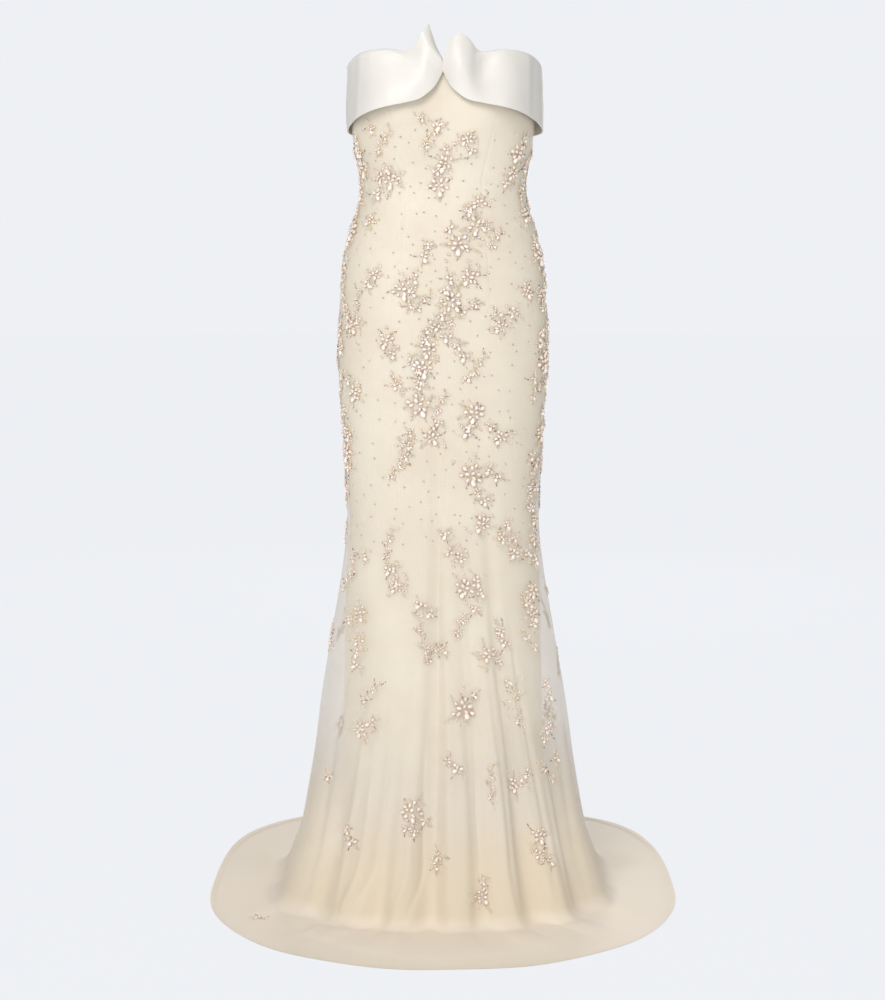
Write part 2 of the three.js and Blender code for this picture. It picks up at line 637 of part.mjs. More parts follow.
function addPiece(name, solid, color, roughness, metalness = 0) {
  const material = new THREE.MeshStandardMaterial({ color, roughness, metalness });
  const piece = new THREE.Mesh(geometryOf(solid), material);
  piece.name = name;
  gown.add(piece);
}

const TULLE_COLOR = 0xe6dcc6;
const LINING_COLOR = 0xf0e6cf;
const SATIN_COLOR = 0xf6f3ee;
const ZIP_COLOR = 0xd8cdb4;
const FRONT_COLUMNS = 34;
const BACK_COLUMNS = 12;

const frontMesh = panel(tulle, GOWN_ROWS, GOWN_WALL, -90, 90, FRONT_COLUMNS, [FRONT_SEAM, FRONT_SEAM]);
const rightMesh = panel(tulle, GOWN_ROWS, GOWN_WALL, 90, 180, BACK_COLUMNS, [BACK_SEAM, ZIP_SEAM_RIGHT]);
const leftMesh = panel(tulle, GOWN_ROWS, GOWN_WALL, -180, -90, BACK_COLUMNS, [ZIP_SEAM_LEFT, BACK_SEAM]);
const mirrored = BACK_SPRAYS.map((spray) => ({
  ...spray,
  angle: -spray.angle - 5,
  height: spray.height - 26,
  turn: 180 - spray.turn,
}));
addPiece("front_panel", beaded(frontMesh, FRONT_SPRAYS), TULLE_COLOR, 0.75);
addPiece("back_panel_right", beaded(rightMesh, BACK_SPRAYS), TULLE_COLOR, 0.75);
addPiece("back_panel_left", beaded(leftMesh, mirrored), TULLE_COLOR, 0.75);

const liningFront = panel(lining, LINING_ROWS, LINING_WALL, -90, 90, FRONT_COLUMNS, [FRONT_SEAM, FRONT_SEAM]);
const liningBack = panel(lining, LINING_ROWS, LINING_WALL, 90, 270, 2 * BACK_COLUMNS, [BACK_SEAM, BACK_SEAM]);
addPiece("lining_skirt_front", solidOf(liningFront), LINING_COLOR, 0.6);
addPiece("lining_skirt_back", solidOf(liningBack), LINING_COLOR, 0.6);

addPiece("collar_left", solidOf(collarMesh(-1, POINTED_PETAL)), SATIN_COLOR, 0.35);
addPiece("collar_right", solidOf(collarMesh(1, ROUNDED_PETAL)), SATIN_COLOR, 0.35);

const zip = zipParts();
addPiece("zip_slider", zip.slider, ZIP_COLOR, 0.35, 0.6);
addPiece("zip_pull", zip.pull, ZIP_COLOR, 0.35, 0.6);

export default gown;
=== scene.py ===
# %% [markdown]
# # A strapless gown with a petal collar
# The gown is a fitted column of tulle over an opaque lining. A satin collar is turned down over
# its top edge, and beaded sprays run from the bust to the hem, which spreads out on the floor.
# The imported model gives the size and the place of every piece. This script gives them their cloth:
# thin shells on the solids' forms, with the creases, the beads and the finishes of the real gown.

import math
import random

import bmesh
import bpy
import numpy as np
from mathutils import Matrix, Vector


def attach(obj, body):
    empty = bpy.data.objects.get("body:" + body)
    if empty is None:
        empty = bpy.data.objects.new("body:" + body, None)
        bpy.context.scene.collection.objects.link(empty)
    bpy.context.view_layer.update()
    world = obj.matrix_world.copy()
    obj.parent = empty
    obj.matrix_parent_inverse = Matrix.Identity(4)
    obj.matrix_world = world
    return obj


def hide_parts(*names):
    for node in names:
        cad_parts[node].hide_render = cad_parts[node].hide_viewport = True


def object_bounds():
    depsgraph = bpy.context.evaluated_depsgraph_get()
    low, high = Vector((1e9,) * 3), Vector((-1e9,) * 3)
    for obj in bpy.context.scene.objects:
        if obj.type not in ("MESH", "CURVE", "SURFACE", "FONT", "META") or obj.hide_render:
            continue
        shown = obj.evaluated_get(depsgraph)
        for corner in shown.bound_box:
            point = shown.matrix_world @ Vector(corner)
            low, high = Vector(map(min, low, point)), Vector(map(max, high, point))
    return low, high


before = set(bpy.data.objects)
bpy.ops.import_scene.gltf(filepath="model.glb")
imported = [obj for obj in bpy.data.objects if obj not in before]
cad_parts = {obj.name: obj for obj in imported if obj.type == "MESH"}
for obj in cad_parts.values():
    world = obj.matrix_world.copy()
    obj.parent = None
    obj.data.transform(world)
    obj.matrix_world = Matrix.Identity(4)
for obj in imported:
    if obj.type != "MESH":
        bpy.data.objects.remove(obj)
cad_low, cad_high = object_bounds()
MM = 0.001
FLOOR = cad_low.z
print("the packed gown measures", [round(side, 3) for side in cad_high - cad_low], "m")


def table(columns, *rows):
    """Rows whose values are read by the names of their columns."""
    return [dict(zip(columns.split(), row)) for row in rows]


# %% [markdown]
# ## Camera
# The photograph was taken from about three metres away, with the camera a little below the top
# of the gown and tilted down by about eight degrees. The hem's outline on the floor fixes both.
# A tilt does the framing, so the lens needs no shift and other views stay centred.

# %% Place the camera
CAMERA_SIDE = -0.0008
CAMERA_DISTANCE = 3.332
CAMERA_HEIGHT = 1.1243
CAMERA_TILT = math.radians(8.31)
LENS_MM = 77.1

camera_data = bpy.data.cameras.new("camera")
camera_data.lens = LENS_MM
camera_data.sensor_width = 36
camera = bpy.data.objects.new("camera", camera_data)
bpy.context.scene.collection.objects.link(camera)
camera.location = (CAMERA_SIDE, -CAMERA_DISTANCE, FLOOR + CAMERA_HEIGHT)
camera.rotation_euler = (math.radians(90) - CAMERA_TILT, 0, 0)
bpy.context.scene.camera = camera
print("camera at", [round(place, 3) for place in camera.location])

# %% [markdown]
# ## Helpers for finishes
# Every material below is a small tree of nodes. One function adds a node with its settings and
# its links, and one turns a colour from the usual hex code into the linear values Blender works in.
# Short ones on top of them make what most finishes share: a ramp of colours, a change of range,
# soft clouds of two tones, a fine relief, and the Principled shader at the end.

# %% Colours and nodes


def colour(code):
    """Linear red, green, blue and alpha of a hex code in sRGB."""
    channels = [int(code[place : place + 2], 16) / 255 for place in (0, 2, 4)]
    return (*[c / 12.92 if c <= 0.04045 else ((c + 0.055) / 1.055) ** 2.4 for c in channels], 1.0)


def add_node(tree, kind, inputs=None, **settings):
    added = tree.nodes.new(kind)
    for name, value in settings.items():
        setattr(added, name, value)
    for name, value in (inputs or {}).items():
        if isinstance(value, bpy.types.NodeSocket):
            tree.links.new(value, added.inputs[name])
        else:
            added.inputs[name].default_value = value
    return added


def new_material(name):
    material = bpy.data.materials.new(name)
    material.use_nodes = True
    material.node_tree.nodes.clear()
    return material, material.node_tree


def ramp(tree, factor, *stops):
    """A ramp of colours, each given by its place from 0 to 1 and its hex code."""
    made = add_node(tree, "ShaderNodeValToRGB", {"Fac": factor})
    marks = made.color_ramp.elements
    for mark, (place, code) in zip(marks, (stops[0], stops[-1])):
        mark.position, mark.color = place, colour(code)
    for place, code in stops[1:-1]:
        marks.new(place).color = colour(code)
    return made.outputs["Color"]


def passage(tree, value, start, end, low=0.0, high=1.0, **settings):
    """A value between start and end, carried over to the range from low to high."""
    inputs = {"Value": value, "From Min": start, "From Max": end, "To Min": low, "To Max": high}
    return add_node(tree, "ShaderNodeMapRange", inputs, **settings).outputs["Result"]


def clouds(tree, scale, detail, low, high, spread):
    """Two tones in soft clouds; the scale counts the clouds in a metre."""
    place = add_node(tree, "ShaderNodeTexCoord").outputs["Object"]
    noise = add_node(tree, "ShaderNodeTexNoise", {"Vector": place, "Scale": scale, "Detail": detail})
    return ramp(tree, noise.outputs["Fac"], (0.5 - spread, low), (0.5 + spread, high))


def relief(tree, height, strength, distance):
    """A fine bump; the distance is how deep it is, in metres."""
    inputs = {"Height": height, "Strength": strength, "Distance": distance}
    return add_node(tree, "ShaderNodeBump", inputs).outputs["Normal"]


def finish_material(tree, inputs):
    shader = add_node(tree, "ShaderNodeBsdfPrincipled", inputs)
    add_node(tree, "ShaderNodeOutputMaterial", {"Surface": shader.outputs["BSDF"]})


print("ivory is", [round(c, 3) for c in colour("F4EEE2")])

# %% [markdown]
# ## The studio
# The photograph has a plain, very pale ground without a visible horizon. The floor gives off most
# of its own tone, as a lit sweep of paper does, so it stays even and still takes a soft shadow. A
# dome seen only by the camera carries that tone up behind the gown. The main light is one large
# soft box, high in front and to the left. Two weaker ones at waist height and the pale air of the
# room open the shadows, one overhead lights the hem on the floor, and one stands behind.

# %% Measures of the light
BACKDROP = "EEF0F4"
BACKDROP_RADIUS = 13.5
FLOOR_RADIUS = 14
FLOOR_DROP = 0.0004
FLOOR_GLOW = 0.984
AIR_STRENGTH = 0.34
SOFT_BOXES = table(
    "name x y z aim width height watts",
    ("key_box", -1.1, -3.1, 3.0, 0.9, 1.5, 1.5, 80),
    ("fill_box", -1.9, -2.3, 0.9, 0.8, 1.6, 1.6, 9),
    ("low_box", 1.7, -3.3, 1.1, 0.6, 1.8, 1.5, 26),
    ("top_box", 0.5, 0.5, 3.4, 0.0, 1.8, 1.8, 15),
    ("back_box", 0.4, 3.2, 1.2, 0.9, 1.6, 1.4, 26),
)
key = SOFT_BOXES[0]
print("the key box stands", round(math.hypot(key["x"], key["y"]), 2), "m from the gown")

# %% Floor, dome and lights
scene = bpy.context.scene
scene.view_settings.view_transform = "Standard"


def link_mesh(name, bm):
    mesh = bpy.data.meshes.new(name)
    bm.to_mesh(mesh)
    bm.free()
    made = bpy.data.objects.new(name, mesh)
    scene.collection.objects.link(made)
    return made


floor_shape = bmesh.new()
bmesh.ops.create_circle(floor_shape, cap_ends=True, segments=96, radius=FLOOR_RADIUS)
bmesh.ops.translate(floor_shape, verts=floor_shape.verts, vec=(0, 0, FLOOR - FLOOR_DROP))
floor = link_mesh("floor", floor_shape)
floor_paper, tree = new_material("lit_paper_sweep")
grain = add_node(tree, "ShaderNodeTexNoise", {"Scale": 1.5, "Detail": 2.0})
finish_material(
    tree,
    {
        "Base Color": ramp(tree, grain.outputs["Fac"], (0.0, "262728"), (1.0, "28292A")),
        "Roughness": 1.0,
        "Specular IOR Level": 0.0,
        "Emission Color": colour(BACKDROP),
        "Emission Strength": FLOOR_GLOW,
    },
)
floor.data.materials.append(floor_paper)

dome_shape = bmesh.new()
bmesh.ops.create_uvsphere(dome_shape, u_segments=48, v_segments=24, radius=BACKDROP_RADIUS)
dome = link_mesh("dome", dome_shape)
dome_light, tree = new_material("lit_backdrop")
glow = add_node(tree, "ShaderNodeEmission", {"Color": colour(BACKDROP), "Strength": 1.0})
add_node(tree, "ShaderNodeOutputMaterial", {"Surface": glow.outputs["Emission"]})
dome.data.materials.append(dome_light)
for rays in ("diffuse", "glossy", "shadow", "transmission"):
    setattr(dome, "visible_" + rays, False)

world = bpy.data.worlds.new("studio_air")
world.use_nodes = True
world.node_tree.nodes["Background"].inputs["Color"].default_value = colour("F7F8FB")
world.node_tree.nodes["Background"].inputs["Strength"].default_value = AIR_STRENGTH
scene.world = world

for box in SOFT_BOXES:
    light = bpy.data.lights.new(box["name"], "AREA")
    light.shape = "RECTANGLE"
    light.size, light.size_y = box["width"], box["height"]
    light.energy = box["watts"]
    lamp = bpy.data.objects.new(box["name"], light)
    scene.collection.objects.link(lamp)
    lamp.location = (box["x"], box["y"], FLOOR + box["z"])
    aim = Vector((0, 0, FLOOR + box["aim"])) - lamp.location
    lamp.rotation_euler = aim.to_track_quat("-Z", "Y").to_euler()
    lamp.visible_camera = False
print("studio:", len(SOFT_BOXES), "soft boxes")

# %% [markdown]
# ## The gown's measures
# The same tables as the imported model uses, in millimetres above the floor. Each row is one level
# of the outer face of the tulle: half its width, and how far it reaches forward and back. Reading
# them with a smooth curve gives a silhouette without corners.

# %% Rings
WAIST_HEIGHT = -FLOOR / MM
TOP_HEIGHT = 1320.5
KNEE_HEIGHT = 658
BEND_HEIGHT = 34
BEND_RUN = 26
GOWN_WALL = 2.4
LINING_WALL = 1.6
SEAM_GAP = 0.3
TULLE_SHELL = 2.0
LINING_SHELL = 0.9

GOWN_RINGS = table(
    "height half front back",
    (1318, 141.5, 102, 84.5),
    (1247, 142, 108, 88.5),
    (1185, 137, 99.5, 87),
    (1151, 129.5, 88, 82.5),
    (1122, 127, 83.5, 79.5),
    (1094, 131, 83.5, 84.5),
    (1055, 144, 88.5, 97.5),
    (1012, 154, 95.5, 111),
    (953, 160, 101.5, 123),
    (895, 163, 103, 125.5),
    (836, 163, 101, 118),
    (767, 157.5, 98.5, 106.5),
    (687, 153, 96, 101),
    (607, 151, 95, 103),
    (537, 158, 100.5, 121.5),
    (436, 175, 113, 166),
    (333, 192.5, 130.5, 210.5),
    (220, 207.5, 152, 258),
    (116, 227, 173, 304),
    (42, 251, 189, 339),
    (0, 266.5, 198.5, 358),
)
LINING_RINGS = table(
    "height half front back",
    (678, 168, 109, 118.5),
    (607, 154.5, 98, 105),
    (517, 153.5, 100.5, 109.5),
    (364, 157.5, 122, 134.5),
    (189, 162.5, 150.5, 167.5),
    (63, 167.5, 175.5, 195),
    (0, 171, 187, 209.5),
)
GOWN_HEM = {"half": 373, "front": 362, "back": 442, "front_fullness": 2.12, "back_fullness": 3.4}
LINING_HEM = {"half": 216, "front": 262, "back": 296, "front_fullness": 2, "back_fullness": 2}


def read_rows(rows, column, at, key="height"):
    """One column of a table at any height, on a smooth curve through its rows."""
    ordered = sorted(rows, key=lambda row: row[key])
    keys = np.array([row[key] for row in ordered], float)
    values = np.array([row[column] for row in ordered], float)
    slopes = np.empty_like(values)
    slopes[1:-1] = (values[2:] - values[:-2]) / (keys[2:] - keys[:-2])
    slopes[0] = (values[1] - values[0]) / (keys[1] - keys[0])
    slopes[-1] = (values[-1] - values[-2]) / (keys[-1] - keys[-2])
    held = np.clip(at, keys[0], keys[-1])
    right = np.clip(np.searchsorted(keys, held), 1, len(keys) - 1)
    left = right - 1
    span = keys[right] - keys[left]
    t = (held - keys[left]) / span
    return (
        (2 * t**3 - 3 * t**2 + 1) * values[left]
        + (t**3 - 2 * t**2 + t) * slopes[left] * span
        + (3 * t**2 - 2 * t**3) * values[right]
        + (t**3 - t**2) * slopes[right] * span
    )


def oval(angle, half, front, back, front_fullness=2.25, back_fullness=2.25):
    """Distance from the axis to a full oval, at an angle from the centre front."""
    ahead = np.cos(np.radians(angle))
    fullness = np.where(ahead > 0, front_fullness, back_fullness)
    across = np.abs(np.sin(np.radians(angle))) / half
    along = np.abs(ahead) / np.where(ahead > 0, front, back)
    return (across**fullness + along**fullness) ** (-1 / fullness)


def smooth(t):
    held = np.clip(t, 0, 1)
    return held * held * (3 - 2 * held)


def turn_between(a, b):
    return (a - b + 180) % 360 - 180


waist_width = 2 * float(read_rows(GOWN_RINGS, "half", WAIST_HEIGHT))
print("waist", round(waist_width), "mm wide from side to side")

# %% [markdown]
# ## Folds and creases
# Tulle cut flared below the knee falls in soft flutes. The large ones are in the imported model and
# are repeated here. The photograph also shows smaller, uneven creases between them: each row of
# the last table is one soft trough or ridge with its own place, width, depth, ends and lean. Some
# sweep to one side where they reach the floor.
# Similar ones are put on the sides and the back, which the photograph hides.

# %% Tables of folds
GOWN_FOLDS = table(
    "angle width depth start",
    (-178, 13, -16, 658),
    (-160, 12, 13, 577),
    (-138, 12, -14, 637),
    (-117, 12, 11, 537),
    (-97, 9, -7, 446),
    (-72, 11, 6, 487),
    (-54, 8, -8, 537),
    (-39, 9, 10, 467),
    (-29, 7, -8, 395),
    (-18, 10, 8, 717),
    (-6, 10, -13, 895),
    (6, 10, 8, 658),
    (18, 8, -8, 537),
    (28, 9, 8, 436),
    (40, 8, -13, 777),
    (50, 7, 11, 436),
    (61, 8, -9, 344),
    (74, 10, 8, 446),
    (97, 9, -7, 477),
    (119, 12, 12, 577),
    (141, 12, -13, 617),
    (162, 12, 14, 557),
)
LINING_FOLDS = table(
    "angle width depth start",
    (-165, 20, -9, 517),
    (-125, 20, 8, 477),
    (-88, 16, -7, 446),
    (-61, 13, 10, 436),
    (-39, 10, -9, 416),
    (-22, 12, 8, 537),
    (-6, 11, -12, 617),
    (7, 11, 8, 537),
    (20, 9, -8, 477),
    (32, 11, 9, 436),
    (48, 10, -11, 517),
    (64, 12, 10, 416),
    (95, 18, -7, 446),
    (135, 20, 9, 477),
    (172, 20, -8, 517),
)
CREASES = table(
    "angle width depth top foot lean sweep",
    (-47, 3.2, 3.4, 420, -60, 3, 0),
    (-33.5, 1.9, -5.0, 360, -60, 2, -7),
    (-38.5, 2.4, 3.6, 330, -80, 2, -7),
    (-11.5, 2.0, -4.6, 330, -60, 1, -7),
    (-16, 2.6, 3.4, 300, -90, 1, -7),
    (-3.5, 4.4, -2.2, 780, -80, 1, 0),
    (3.5, 3.4, 2.0, 430, -50, -1, 0),
    (11.5, 3.8, 2.0, 380, -40, 2, 0),
    (21, 3.6, -3.2, 520, -60, -2, 0),
    (30, 2.2, 4.2, 430, -60, -2, 3),
    (35, 2.2, 2.8, 520, -30, -1, 0),
    (44.5, 2.2, 5.0, 560, -70, 1, 0),
    (49, 2.0, -4.4, 480, -50, 1, 0),
    (56, 2.6, 3.6, 300, -50, 3, 0),
    (67, 3.0, -3.0, 340, -30, 2, 0),
    (-62, 3.4, -2.8, 460, -40, -2, 0),
    (-80, 3.6, 3.0, 380, -60, -3, 0),
    (84, 3.4, 2.8, 420, -60, 2, 0),
    (106, 3.6, -3.2, 440, -40, 3, 0),
    (128, 3.8, 3.4, 520, -70, -3, 0),
    (151, 3.4, -3.4, 480, -40, 2, 0),
    (171, 3.2, 3.2, 400, -60, -2, 0),
    (-107, 3.6, 3.2, 460, -50, 3, 0),
    (-128, 3.6, -3.4, 500, -40, -2, 0),
    (-149, 3.4, 3.4, 430, -60, 2, 0),
    (-169, 3.2, -3.0, 520, -40, -2, 0),
    (30, 5.0, -1.0, 830, 560, 14, 0),
    (38, 4.0, 0.9, 790, 600, 18, 0),
    (-42, 5.0, -0.8, 860, 600, -10, 0),
    (-70, 5.0, -1.0, 1160, 1070, -20, 0),
    (72, 5.0, -1.1, 1150, 1060, 24, 0),
    (130, 6.0, -1.2, 1130, 1040, 30, 0),
    (-130, 6.0, -1.2, 1140, 1050, -30, 0),
    (155, 5.0, -1.0, 800, 640, -12, 0),
    (-152, 5.0, -1.0, 820, 650, 12, 0),
)
BODICE_SEAMS = [{"angle": angle, "foot": 880} for angle in (-38, 38, -146, 146)]
BODICE_SEAMS += [{"angle": angle, "foot": 60} for angle in (-90, 90, 180)]
CUP = {"angle": 34, "spread": 21, "height": 1245, "reach": 44, "depth": 13}
SWEEP_HEIGHT = 95
SEAM = {"width": 0.8, "depth": 0.7, "fade": 60}
TOP_DIP = {"centre": 26, "spread": 12, "sides": 18, "front_spread": 20, "back_spread": 38}


def fold_depth(folds, angle, height):
    """How far the large folds stand out; each grows from its start down to the floor."""
    depth = 0 * (angle + height)
    for fold in folds:
        away = np.abs(turn_between(angle, fold["angle"])) / fold["width"]
        grown = np.clip(1 - np.maximum(height, 0) / fold["start"], 0, 1)
        depth = depth + fold["depth"] * (0.5 + 0.5 * np.cos(np.pi * np.minimum(away, 1))) * grown**1.2
    return depth


def crease_depth(angle, height):
    """How far the small creases stand out; each wanders a little and fades at both ends."""
    depth = 0 * (angle + height)
    for crease in CREASES:
        share = (height - crease["foot"]) / (crease["top"] - crease["foot"])
        held = np.sin(np.pi * np.clip(share, 0, 1)) ** 1.3
        centre = crease["angle"] + crease["lean"] * (crease["top"] - height) / 1000
        centre = centre + 0.7 * np.sin(height / 61 + crease["angle"])
        centre = centre + crease["sweep"] * smooth((SWEEP_HEIGHT - height) / SWEEP_HEIGHT)
        away = turn_between(angle, centre) / crease["width"]
        depth = depth + crease["depth"] * held * np.exp(-2.5 * away**2)
    return depth


def seam_depth(angle, height):
    depth = 0 * (angle + height)
    for seam in BODICE_SEAMS:
        ends = smooth((height - seam["foot"]) / SEAM["fade"])
        away = turn_between(angle, seam["angle"]) / SEAM["width"]
        depth = depth - SEAM["depth"] * ends * np.exp(-(away**2))
    return depth


def cup_depth(angle, height):
    away = (np.abs(turn_between(angle, 0)) - CUP["angle"]) / CUP["spread"]
    above = (height - CUP["height"]) / CUP["reach"]
    return CUP["depth"] * np.exp(-(away**2) - above**2)


print(len(GOWN_FOLDS), "large folds,", len(CREASES), "creases,", len(BODICE_SEAMS), "bodice seams")

# %% [markdown]
# ## From tables to cloth
# A layer of cloth is described by how far it stands from the gown's axis at each angle and height.
# It hangs, turns where it meets the floor, and then lies out to its hem. All three parts are rows
# of one sheet of points, so a plain grid can be laid on it without a break.

# %% Where each layer lies


def gown_radius(angle, height):
    ring = [read_rows(GOWN_RINGS, name, height) for name in ("half", "front", "back")]
    return (
        oval(angle, *ring)
        - GOWN_WALL
        + cup_depth(angle, height)
        + fold_depth(GOWN_FOLDS, angle, height)
        + crease_depth(angle, height)
        + seam_depth(angle, height)
    )


def lining_radius(angle, height):
    ring = [read_rows(LINING_RINGS, name, height) for name in ("half", "front", "back")]
    own = oval(angle, *ring) + fold_depth(LINING_FOLDS, angle, height) - LINING_WALL
    slack = 3.5 * smooth((KNEE_HEIGHT - height) / 120)
    free = np.minimum(own, gown_radius(angle, height) - LINING_WALL - SEAM_GAP - slack)
    return np.where(height > KNEE_HEIGHT, gown_radius(angle, height) - LINING_SHELL, free)


def hem_radius(angle, hem):
    sizes = (hem["half"], hem["front"], hem["back"], hem["front_fullness"], hem["back_fullness"])
    return oval(angle, *sizes)


def top_edge(angle):
    """Height of the bodice's top edge, which dips at the centre front and under the arms."""
    from_centre = turn_between(angle, 0) / TOP_DIP["spread"]
    from_side = np.abs(turn_between(angle, 0)) - 90
    under_arm = from_side / np.where(from_side < 0, TOP_DIP["front_spread"], TOP_DIP["back_spread"])
    dip = TOP_DIP["centre"] * np.exp(-(from_centre**2))
    return TOP_HEIGHT - dip - TOP_DIP["sides"] * np.exp(-(under_arm**2))


def tulle_lift(angle, radius):
    """Height of the lying tulle: over the lining's hem, and arched where a fold runs out."""
    past = (radius - hem_radius(angle, LINING_HEM) - 40) / 30
    run = radius - gown_radius(angle, 0) - BEND_RUN
    fold = fold_depth(GOWN_FOLDS, angle, 0) + 1.6 * crease_depth(angle, 0)
    arch = 0.45 * np.maximum(fold, 0) * (1 - smooth(run / 85))
    ripple = 0.7 + 0.7 * np.sin(np.radians(angle * 11 + 40)) * smooth(run / 60)
    return (LINING_WALL + 2 * SEAM_GAP) * (1 - smooth(past)) + arch + ripple


TULLE = {"radius": gown_radius, "hem": GOWN_HEM, "lift": tulle_lift}
LINING = {"radius": lining_radius, "hem": LINING_HEM, "lift": lambda angle, radius: 0 * angle}


def sheet_rows(hanging, turning, lying):
    """Rows of a sheet: heights while it hangs, then shares of the turn and of the way to the hem."""
    falls = [("hang", height) for height in np.linspace(TOP_HEIGHT, BEND_HEIGHT, hanging)]
    turns = [("turn", share) for share in np.linspace(0, 1, turning + 1)[1:]]
    return falls + turns + [("lie", share) for share in np.linspace(0, 1, lying + 1)[1:]]


def sheet_points(layer, angles, rows):
    """Points of a layer's inner face, row by row, in millimetres from the waist."""
    points = np.zeros((len(rows), len(angles), 3))
    foot = layer["radius"](angles, 0 * angles)
    start = layer["radius"](angles, 0 * angles + BEND_HEIGHT)
    landing = foot + BEND_RUN
    for index, (part, share) in enumerate(rows):
        if part == "hang":
            above = max(share - WAIST_HEIGHT, 0)
            stretch = (top_edge(angles) - WAIST_HEIGHT) / (TOP_HEIGHT - WAIST_HEIGHT)
            height = share - above + above * stretch
            radius = layer["radius"](angles, height)
        elif part == "turn":
            radius = (1 - share) ** 2 * start + 2 * share * (1 - share) * foot + share**2 * landing
            height = (1 - share) ** 2 * BEND_HEIGHT + share**2 * layer["lift"](angles, landing)
        else:
            radius = landing + (hem_radius(angles, layer["hem"]) - landing) * share
            height = layer["lift"](angles, radius)
        sine, cosine = np.sin(np.radians(angles)), np.cos(np.radians(angles))
        points[index] = np.stack([radius * sine, -radius * cosine, height - WAIST_HEIGHT], axis=-1)
    return points


def outward(points):
    """Direction out of a sheet that goes all round, at each of its points."""
    ring = points[:, :-1]
    around = np.roll(ring, -1, axis=1) - np.roll(ring, 1, axis=1)
    normal = np.cross(np.gradient(ring, axis=0), around)
    normal /= np.linalg.norm(normal, axis=2, keepdims=True)
    return np.concatenate([normal, normal[:, :1]], axis=1)


TULLE_COLUMNS, LINING_COLUMNS = 360, 240
HANGING_ROWS, TURNING_ROWS, LYING_ROWS = 170, 10, 20
tulle_angles = np.linspace(-180, 180, TULLE_COLUMNS + 1)
tulle_rows = sheet_rows(HANGING_ROWS, TURNING_ROWS, LYING_ROWS)
tulle_inner = sheet_points(TULLE, tulle_angles, tulle_rows)
tulle_out = outward(tulle_inner)
tulle_face = tulle_inner + TULLE_SHELL * tulle_out
lining_angles = np.linspace(-180, 180, LINING_COLUMNS + 1)
lining_rows = sheet_rows(hanging=120, turning=10, lying=12)
lining_inner = sheet_points(LINING, lining_angles, lining_rows)
lining_face = lining_inner + LINING_SHELL * outward(lining_inner)
print("tulle", tulle_face.shape, "lining", lining_face.shape)

# %% [markdown]
# ## Cutting the cloth into its panels
# A maker cuts a front and two backs, joined at the sides and closed by a zip at the centre back.
# A grid is the natural start for each: it has one face for each small square of cloth. Its points
# are moved onto the sheet, and its UV map gets the true lengths in metres, as if the panel were
# rolled out flat, so that the net keeps its scale from the bust to the hem.

# %% Make a panel


def unrolled(sheet):
    """Lengths across from the panel's middle and down from its top, in metres."""
    steps = np.linalg.norm(np.diff(sheet, axis=1), axis=2) * MM
    across = np.concatenate([np.zeros((len(sheet), 1)), np.cumsum(steps, axis=1)], axis=1)
    across -= across[:, across.shape[1] // 2][:, None]
    falls = np.linalg.norm(np.diff(sheet, axis=0), axis=2).mean(axis=1) * MM
    down = np.concatenate([[0], np.cumsum(falls)])
    return across, np.repeat(down[:, None], sheet.shape[1], axis=1)


def cloth_panel(name, sheet, material):
    """A sheet of points made into a mesh, with its lengths as cut in the UV map."""
    rows, columns = sheet.shape[:2]
    across, down = unrolled(sheet)
    bm = bmesh.new()
    cut = bm.loops.layers.uv.new("cut")
    bmesh.ops.create_grid(bm, x_segments=columns - 1, y_segments=rows - 1, size=0.5)
    place = {}
    for vertex in bm.verts:
        column = round((vertex.co.x + 0.5) * (columns - 1))
        row = round((0.5 - vertex.co.y) * (rows - 1))
        place[vertex] = (row, column)
        vertex.co = Vector(sheet[row, column]) * MM
    for face in bm.faces:
        face.smooth = True
        for loop in face.loops:
            spot = place[loop.vert]
            loop[cut].uv = (across[spot], down[spot])
    panel = link_mesh(name, bm)
    panel.data.materials.append(material)
    area = sum(face.area for face in panel.data.polygons)
    width = (across.max(axis=1) - across.min(axis=1)).max()
    print(f"{name}: {width:.2f} m wide, {down.max():.2f} m long, {area:.2f} square metres")
    return panel


# %% [markdown]
# ## Tulle
# Tulle is a hexagonal net of very fine nylon, matt and see-through. At this distance the single
# holes can't be seen: the net reads as a milky veil with a faint grain. The Principled shader's
# alpha makes the veil. It is thin where one layer hangs free below the knee, and gets denser where
# the flutes gather above the floor and lie on it, where the doubled net is a little warmer. Near the
# floor its colour also carries painted shade: a darker band where the cloth turns from hanging to
# lying, which evens the lit turn out with the hem on the floor. The net's cells are 2.2 mm wide.

# %% Tulle material
NET_CELL = 0.0022
DENSE_FROM, DENSE_AT = FLOOR + 0.31, FLOOR + 0.07
VEIL, DOUBLED_VEIL, THREAD_VEIL = 0.42, 0.93, 0.08

tulle_cloth, tree = new_material("nylon_tulle")
cut = add_node(tree, "ShaderNodeUVMap", uv_map="cut").outputs["UV"]
net = add_node(
    tree,
    "ShaderNodeTexVoronoi",
    {"Vector": cut, "Scale": 1 / NET_CELL, "Randomness": 0.35},
    feature="DISTANCE_TO_EDGE",
    voronoi_dimensions="2D",
)
thread = passage(tree, net.outputs["Distance"], 0.0, 0.4, 1.0, 0.0)
place = add_node(tree, "ShaderNodeTexCoord")
height = add_node(tree, "ShaderNodeSeparateXYZ", {"Vector": place.outputs["Object"]}).outputs["Z"]
lying = passage(tree, height, DENSE_FROM, DENSE_AT, interpolation_type="SMOOTHSTEP")
cover = passage(tree, lying, 0.0, 1.0, VEIL, DOUBLED_VEIL)
weave = add_node(
    tree, "ShaderNodeMath", {0: thread, 1: THREAD_VEIL, 2: cover}, operation="MULTIPLY_ADD"
)
